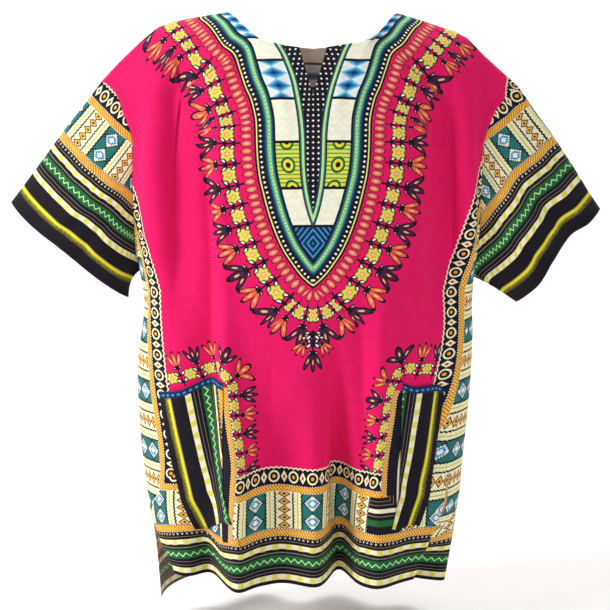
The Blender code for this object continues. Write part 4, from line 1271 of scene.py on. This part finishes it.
def sleeve_points(name):
    """Rings from the armhole to the cuff, from the top of the shoulder down the front first."""
    shape = SLEEVES[name]
    side = 0 if name == "sleeve_left" else -1
    count = len(ARMHOLE_DROPS) - 1
    armhole = np.concatenate((front_points[:count + 1, side], back_points[count - 1:0:-1, side]))
    top = np.array(shape["top"])
    low = np.array(shape["low"])
    far = np.linalg.norm(np.diff(np.concatenate((armhole, armhole[:1])), axis=0), axis=1)
    half = far[:count].sum()
    walk = np.concatenate(([0.0], far.cumsum()[:-1]))
    turn = np.where(walk <= half, 0.5 * walk / half, 0.5 + 0.5 * (walk - half) / far[count:].sum())
    out = table(CUFF_COLUMNS, shape["cuff"], "out", turn)
    deep = table(CUFF_COLUMNS, shape["cuff"], "deep", turn)
    down = 0.45 * (1 - np.cos(turn * 2 * math.pi)) / 2 + 0.55 * np.where(turn < 0.5, turn * 2,
                                                                         2 - turn * 2)
    wave = np.sin(turn * 2 * math.pi)
    axis = (top + low) / 2 - (armhole[0] + armhole[count]) / 2
    axis = axis / np.linalg.norm(axis)
    cuff = top + (low - top) * down[:, None] + axis * out[:, None]
    cuff[:, 1] -= np.sign(wave) * abs(wave) ** 0.8 * np.where(wave > 0, shape["front"],
                                                              shape["back"]) * deep
    rings = []
    for along in np.linspace(0.0, 1.0, SLEEVE_ROWS + 1):
        ring = armhole + (cuff - armhole) * along
        ring[:, 1] -= wave * shape["puff"] * math.sin(math.pi * along)
        ring[:, 0] += shape["clear"] * down**3 * math.sin(math.pi * along**0.7)
        rings.append(ring)
    return np.array(rings)


SLEEVE_CREASES = {
    "sleeve_left": (
        (-0.262, -0.230, -0.360, -0.290, 0.014, 0.009, 0.0040),
        (-0.258, -0.262, -0.320, -0.326, 0.012, 0.008, -0.0034),
        (-0.300, -0.130, -0.385, -0.240, 0.014, 0.010, 0.0030),
        (-0.270, -0.180, -0.330, -0.235, 0.009, 0.007, 0.0022),
    ),
    "sleeve_right": (
        (0.250, -0.240, 0.345, -0.300, 0.010, 0.012, 0.0038),
        (0.246, -0.276, 0.312, -0.334, 0.008, 0.010, -0.0034),
        (0.296, -0.140, 0.372, -0.236, 0.011, 0.012, 0.0030),
        (0.262, -0.190, 0.320, -0.250, 0.008, 0.007, 0.0022),
    ),
}
for sleeve_name in SLEEVES:
    points = sleeve_points(sleeve_name)
    turned = sleeve_name == "sleeve_right"
    out = skin_normals(points, True) * (-1 if turned else 1)
    keep = ease(0.0, 0.12, np.linspace(0.0, 1.0, SLEEVE_ROWS + 1))[:, None]
    points = creased(points, out, SLEEVE_CREASES[sleeve_name], keep)
    out = skin_normals(points, True) * (-1 if turned else 1)
    shut = np.concatenate((points, points[:, :1]), axis=1)
    round_arm = np.linalg.norm(np.diff(shut, axis=1), axis=2).cumsum(axis=1)
    round_arm = np.concatenate((np.zeros((len(shut), 1)), round_arm), axis=1)
    to_cuff = np.linalg.norm(np.diff(shut, axis=0), axis=2)[::-1].cumsum(axis=0)[::-1]
    to_cuff = np.concatenate((to_cuff, np.zeros((1, shut.shape[1]))), axis=0)
    sleeve = cloth_piece(sleeve_name + "_cloth", points, out, {
        "cloth": np.stack((round_arm, to_cuff), axis=-1),
    }, closed=True, flip=turned)
    sleeve_cotton = cotton(sleeve_name + "_cotton")
    tree = sleeve_cotton.node_tree
    over, down = spot_of(tree, "cloth")
    colour = placed(tree, border, Along=over, Across=down, Ground=PINK)["Color"]
    finished(sleeve_cotton, colour, over, down, [(over, down, 12.0)])
    sleeve.data.materials.append(sleeve_cotton)
    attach(sleeve, "root")
    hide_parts(sleeve_name)

# The patch pockets: two pieces cut from the border's plain stripes, turned in at the edges and
# topstitched down both sides and along the bottom. Their tops stay open.
POCKET_STAND = 0.0012
high, low = (int(np.argmin(abs(PANEL_DROPS - drop))) for drop in POCKET_DROPS)
for pocket_name, (first_x, last_x) in POCKETS.items():
    x_top = panel_x()
    first, last = (int(np.argmin(abs(x_top - x))) for x in (first_x, last_x))
    patch = (slice(high, low + 1), slice(first, last + 1))
    out = front_out[patch]
    over = front_over[patch]
    down = front_down[patch]
    from_left = over - over[:, :1]
    from_right = over[:, -1:] - over
    from_top = down - down[:1]
    from_foot = down[-1:] - down
    nearest = np.minimum(np.minimum(from_left, from_right), from_foot)
    gape = 0.0016 * ease(0.0, 0.03, nearest) * (1 - ease(0.0, 0.07, from_top))
    thick = 0.0004 * (1 - ease(0.006, 0.012, np.minimum(nearest, from_top)))
    points = front_points[patch] + out * (POCKET_STAND + gape + thick)[..., None]
    from_outer = from_left if pocket_name == "pocket_left" else from_right
    pocket = cloth_piece(pocket_name + "_cloth", points, out, {
        "cloth": np.stack((from_outer, from_top), axis=-1),
        "edges": np.stack((nearest, from_top), axis=-1),
    }, wall=0.0008)
    pocket_cotton = cotton(pocket_name + "_cotton")
    tree = pocket_cotton.node_tree
    over, down = spot_of(tree, "cloth")
    side_run, top_run = spot_of(tree, "edges")
    across = calc(tree, "ADD", over, 11.0)
    colour = placed(tree, border, Along=down, Across=across, Ground=PINK)["Color"]
    dot = oval(tree, calc(tree, "SUBTRACT", top_run, 5.0), calc(tree, "PINGPONG", over, 4.0), 1.6, 2.2)
    top_band = printed(tree, below(tree, dot, 1.0), NAVY, SKY)
    colour = printed(tree, below(tree, top_run, 9.5), colour, top_band)
    finished(pocket_cotton, colour, over, down, [(down, side_run, 3.0), (over, top_run, 11.0)])
    pocket.data.materials.append(pocket_cotton)
    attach(pocket, "root")
    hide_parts(pocket_name)

size = {"cad_box": [[float(c) for c in corner] for corner in cad_box],
        "visual_box": [[float(c) for c in corner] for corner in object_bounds()]}
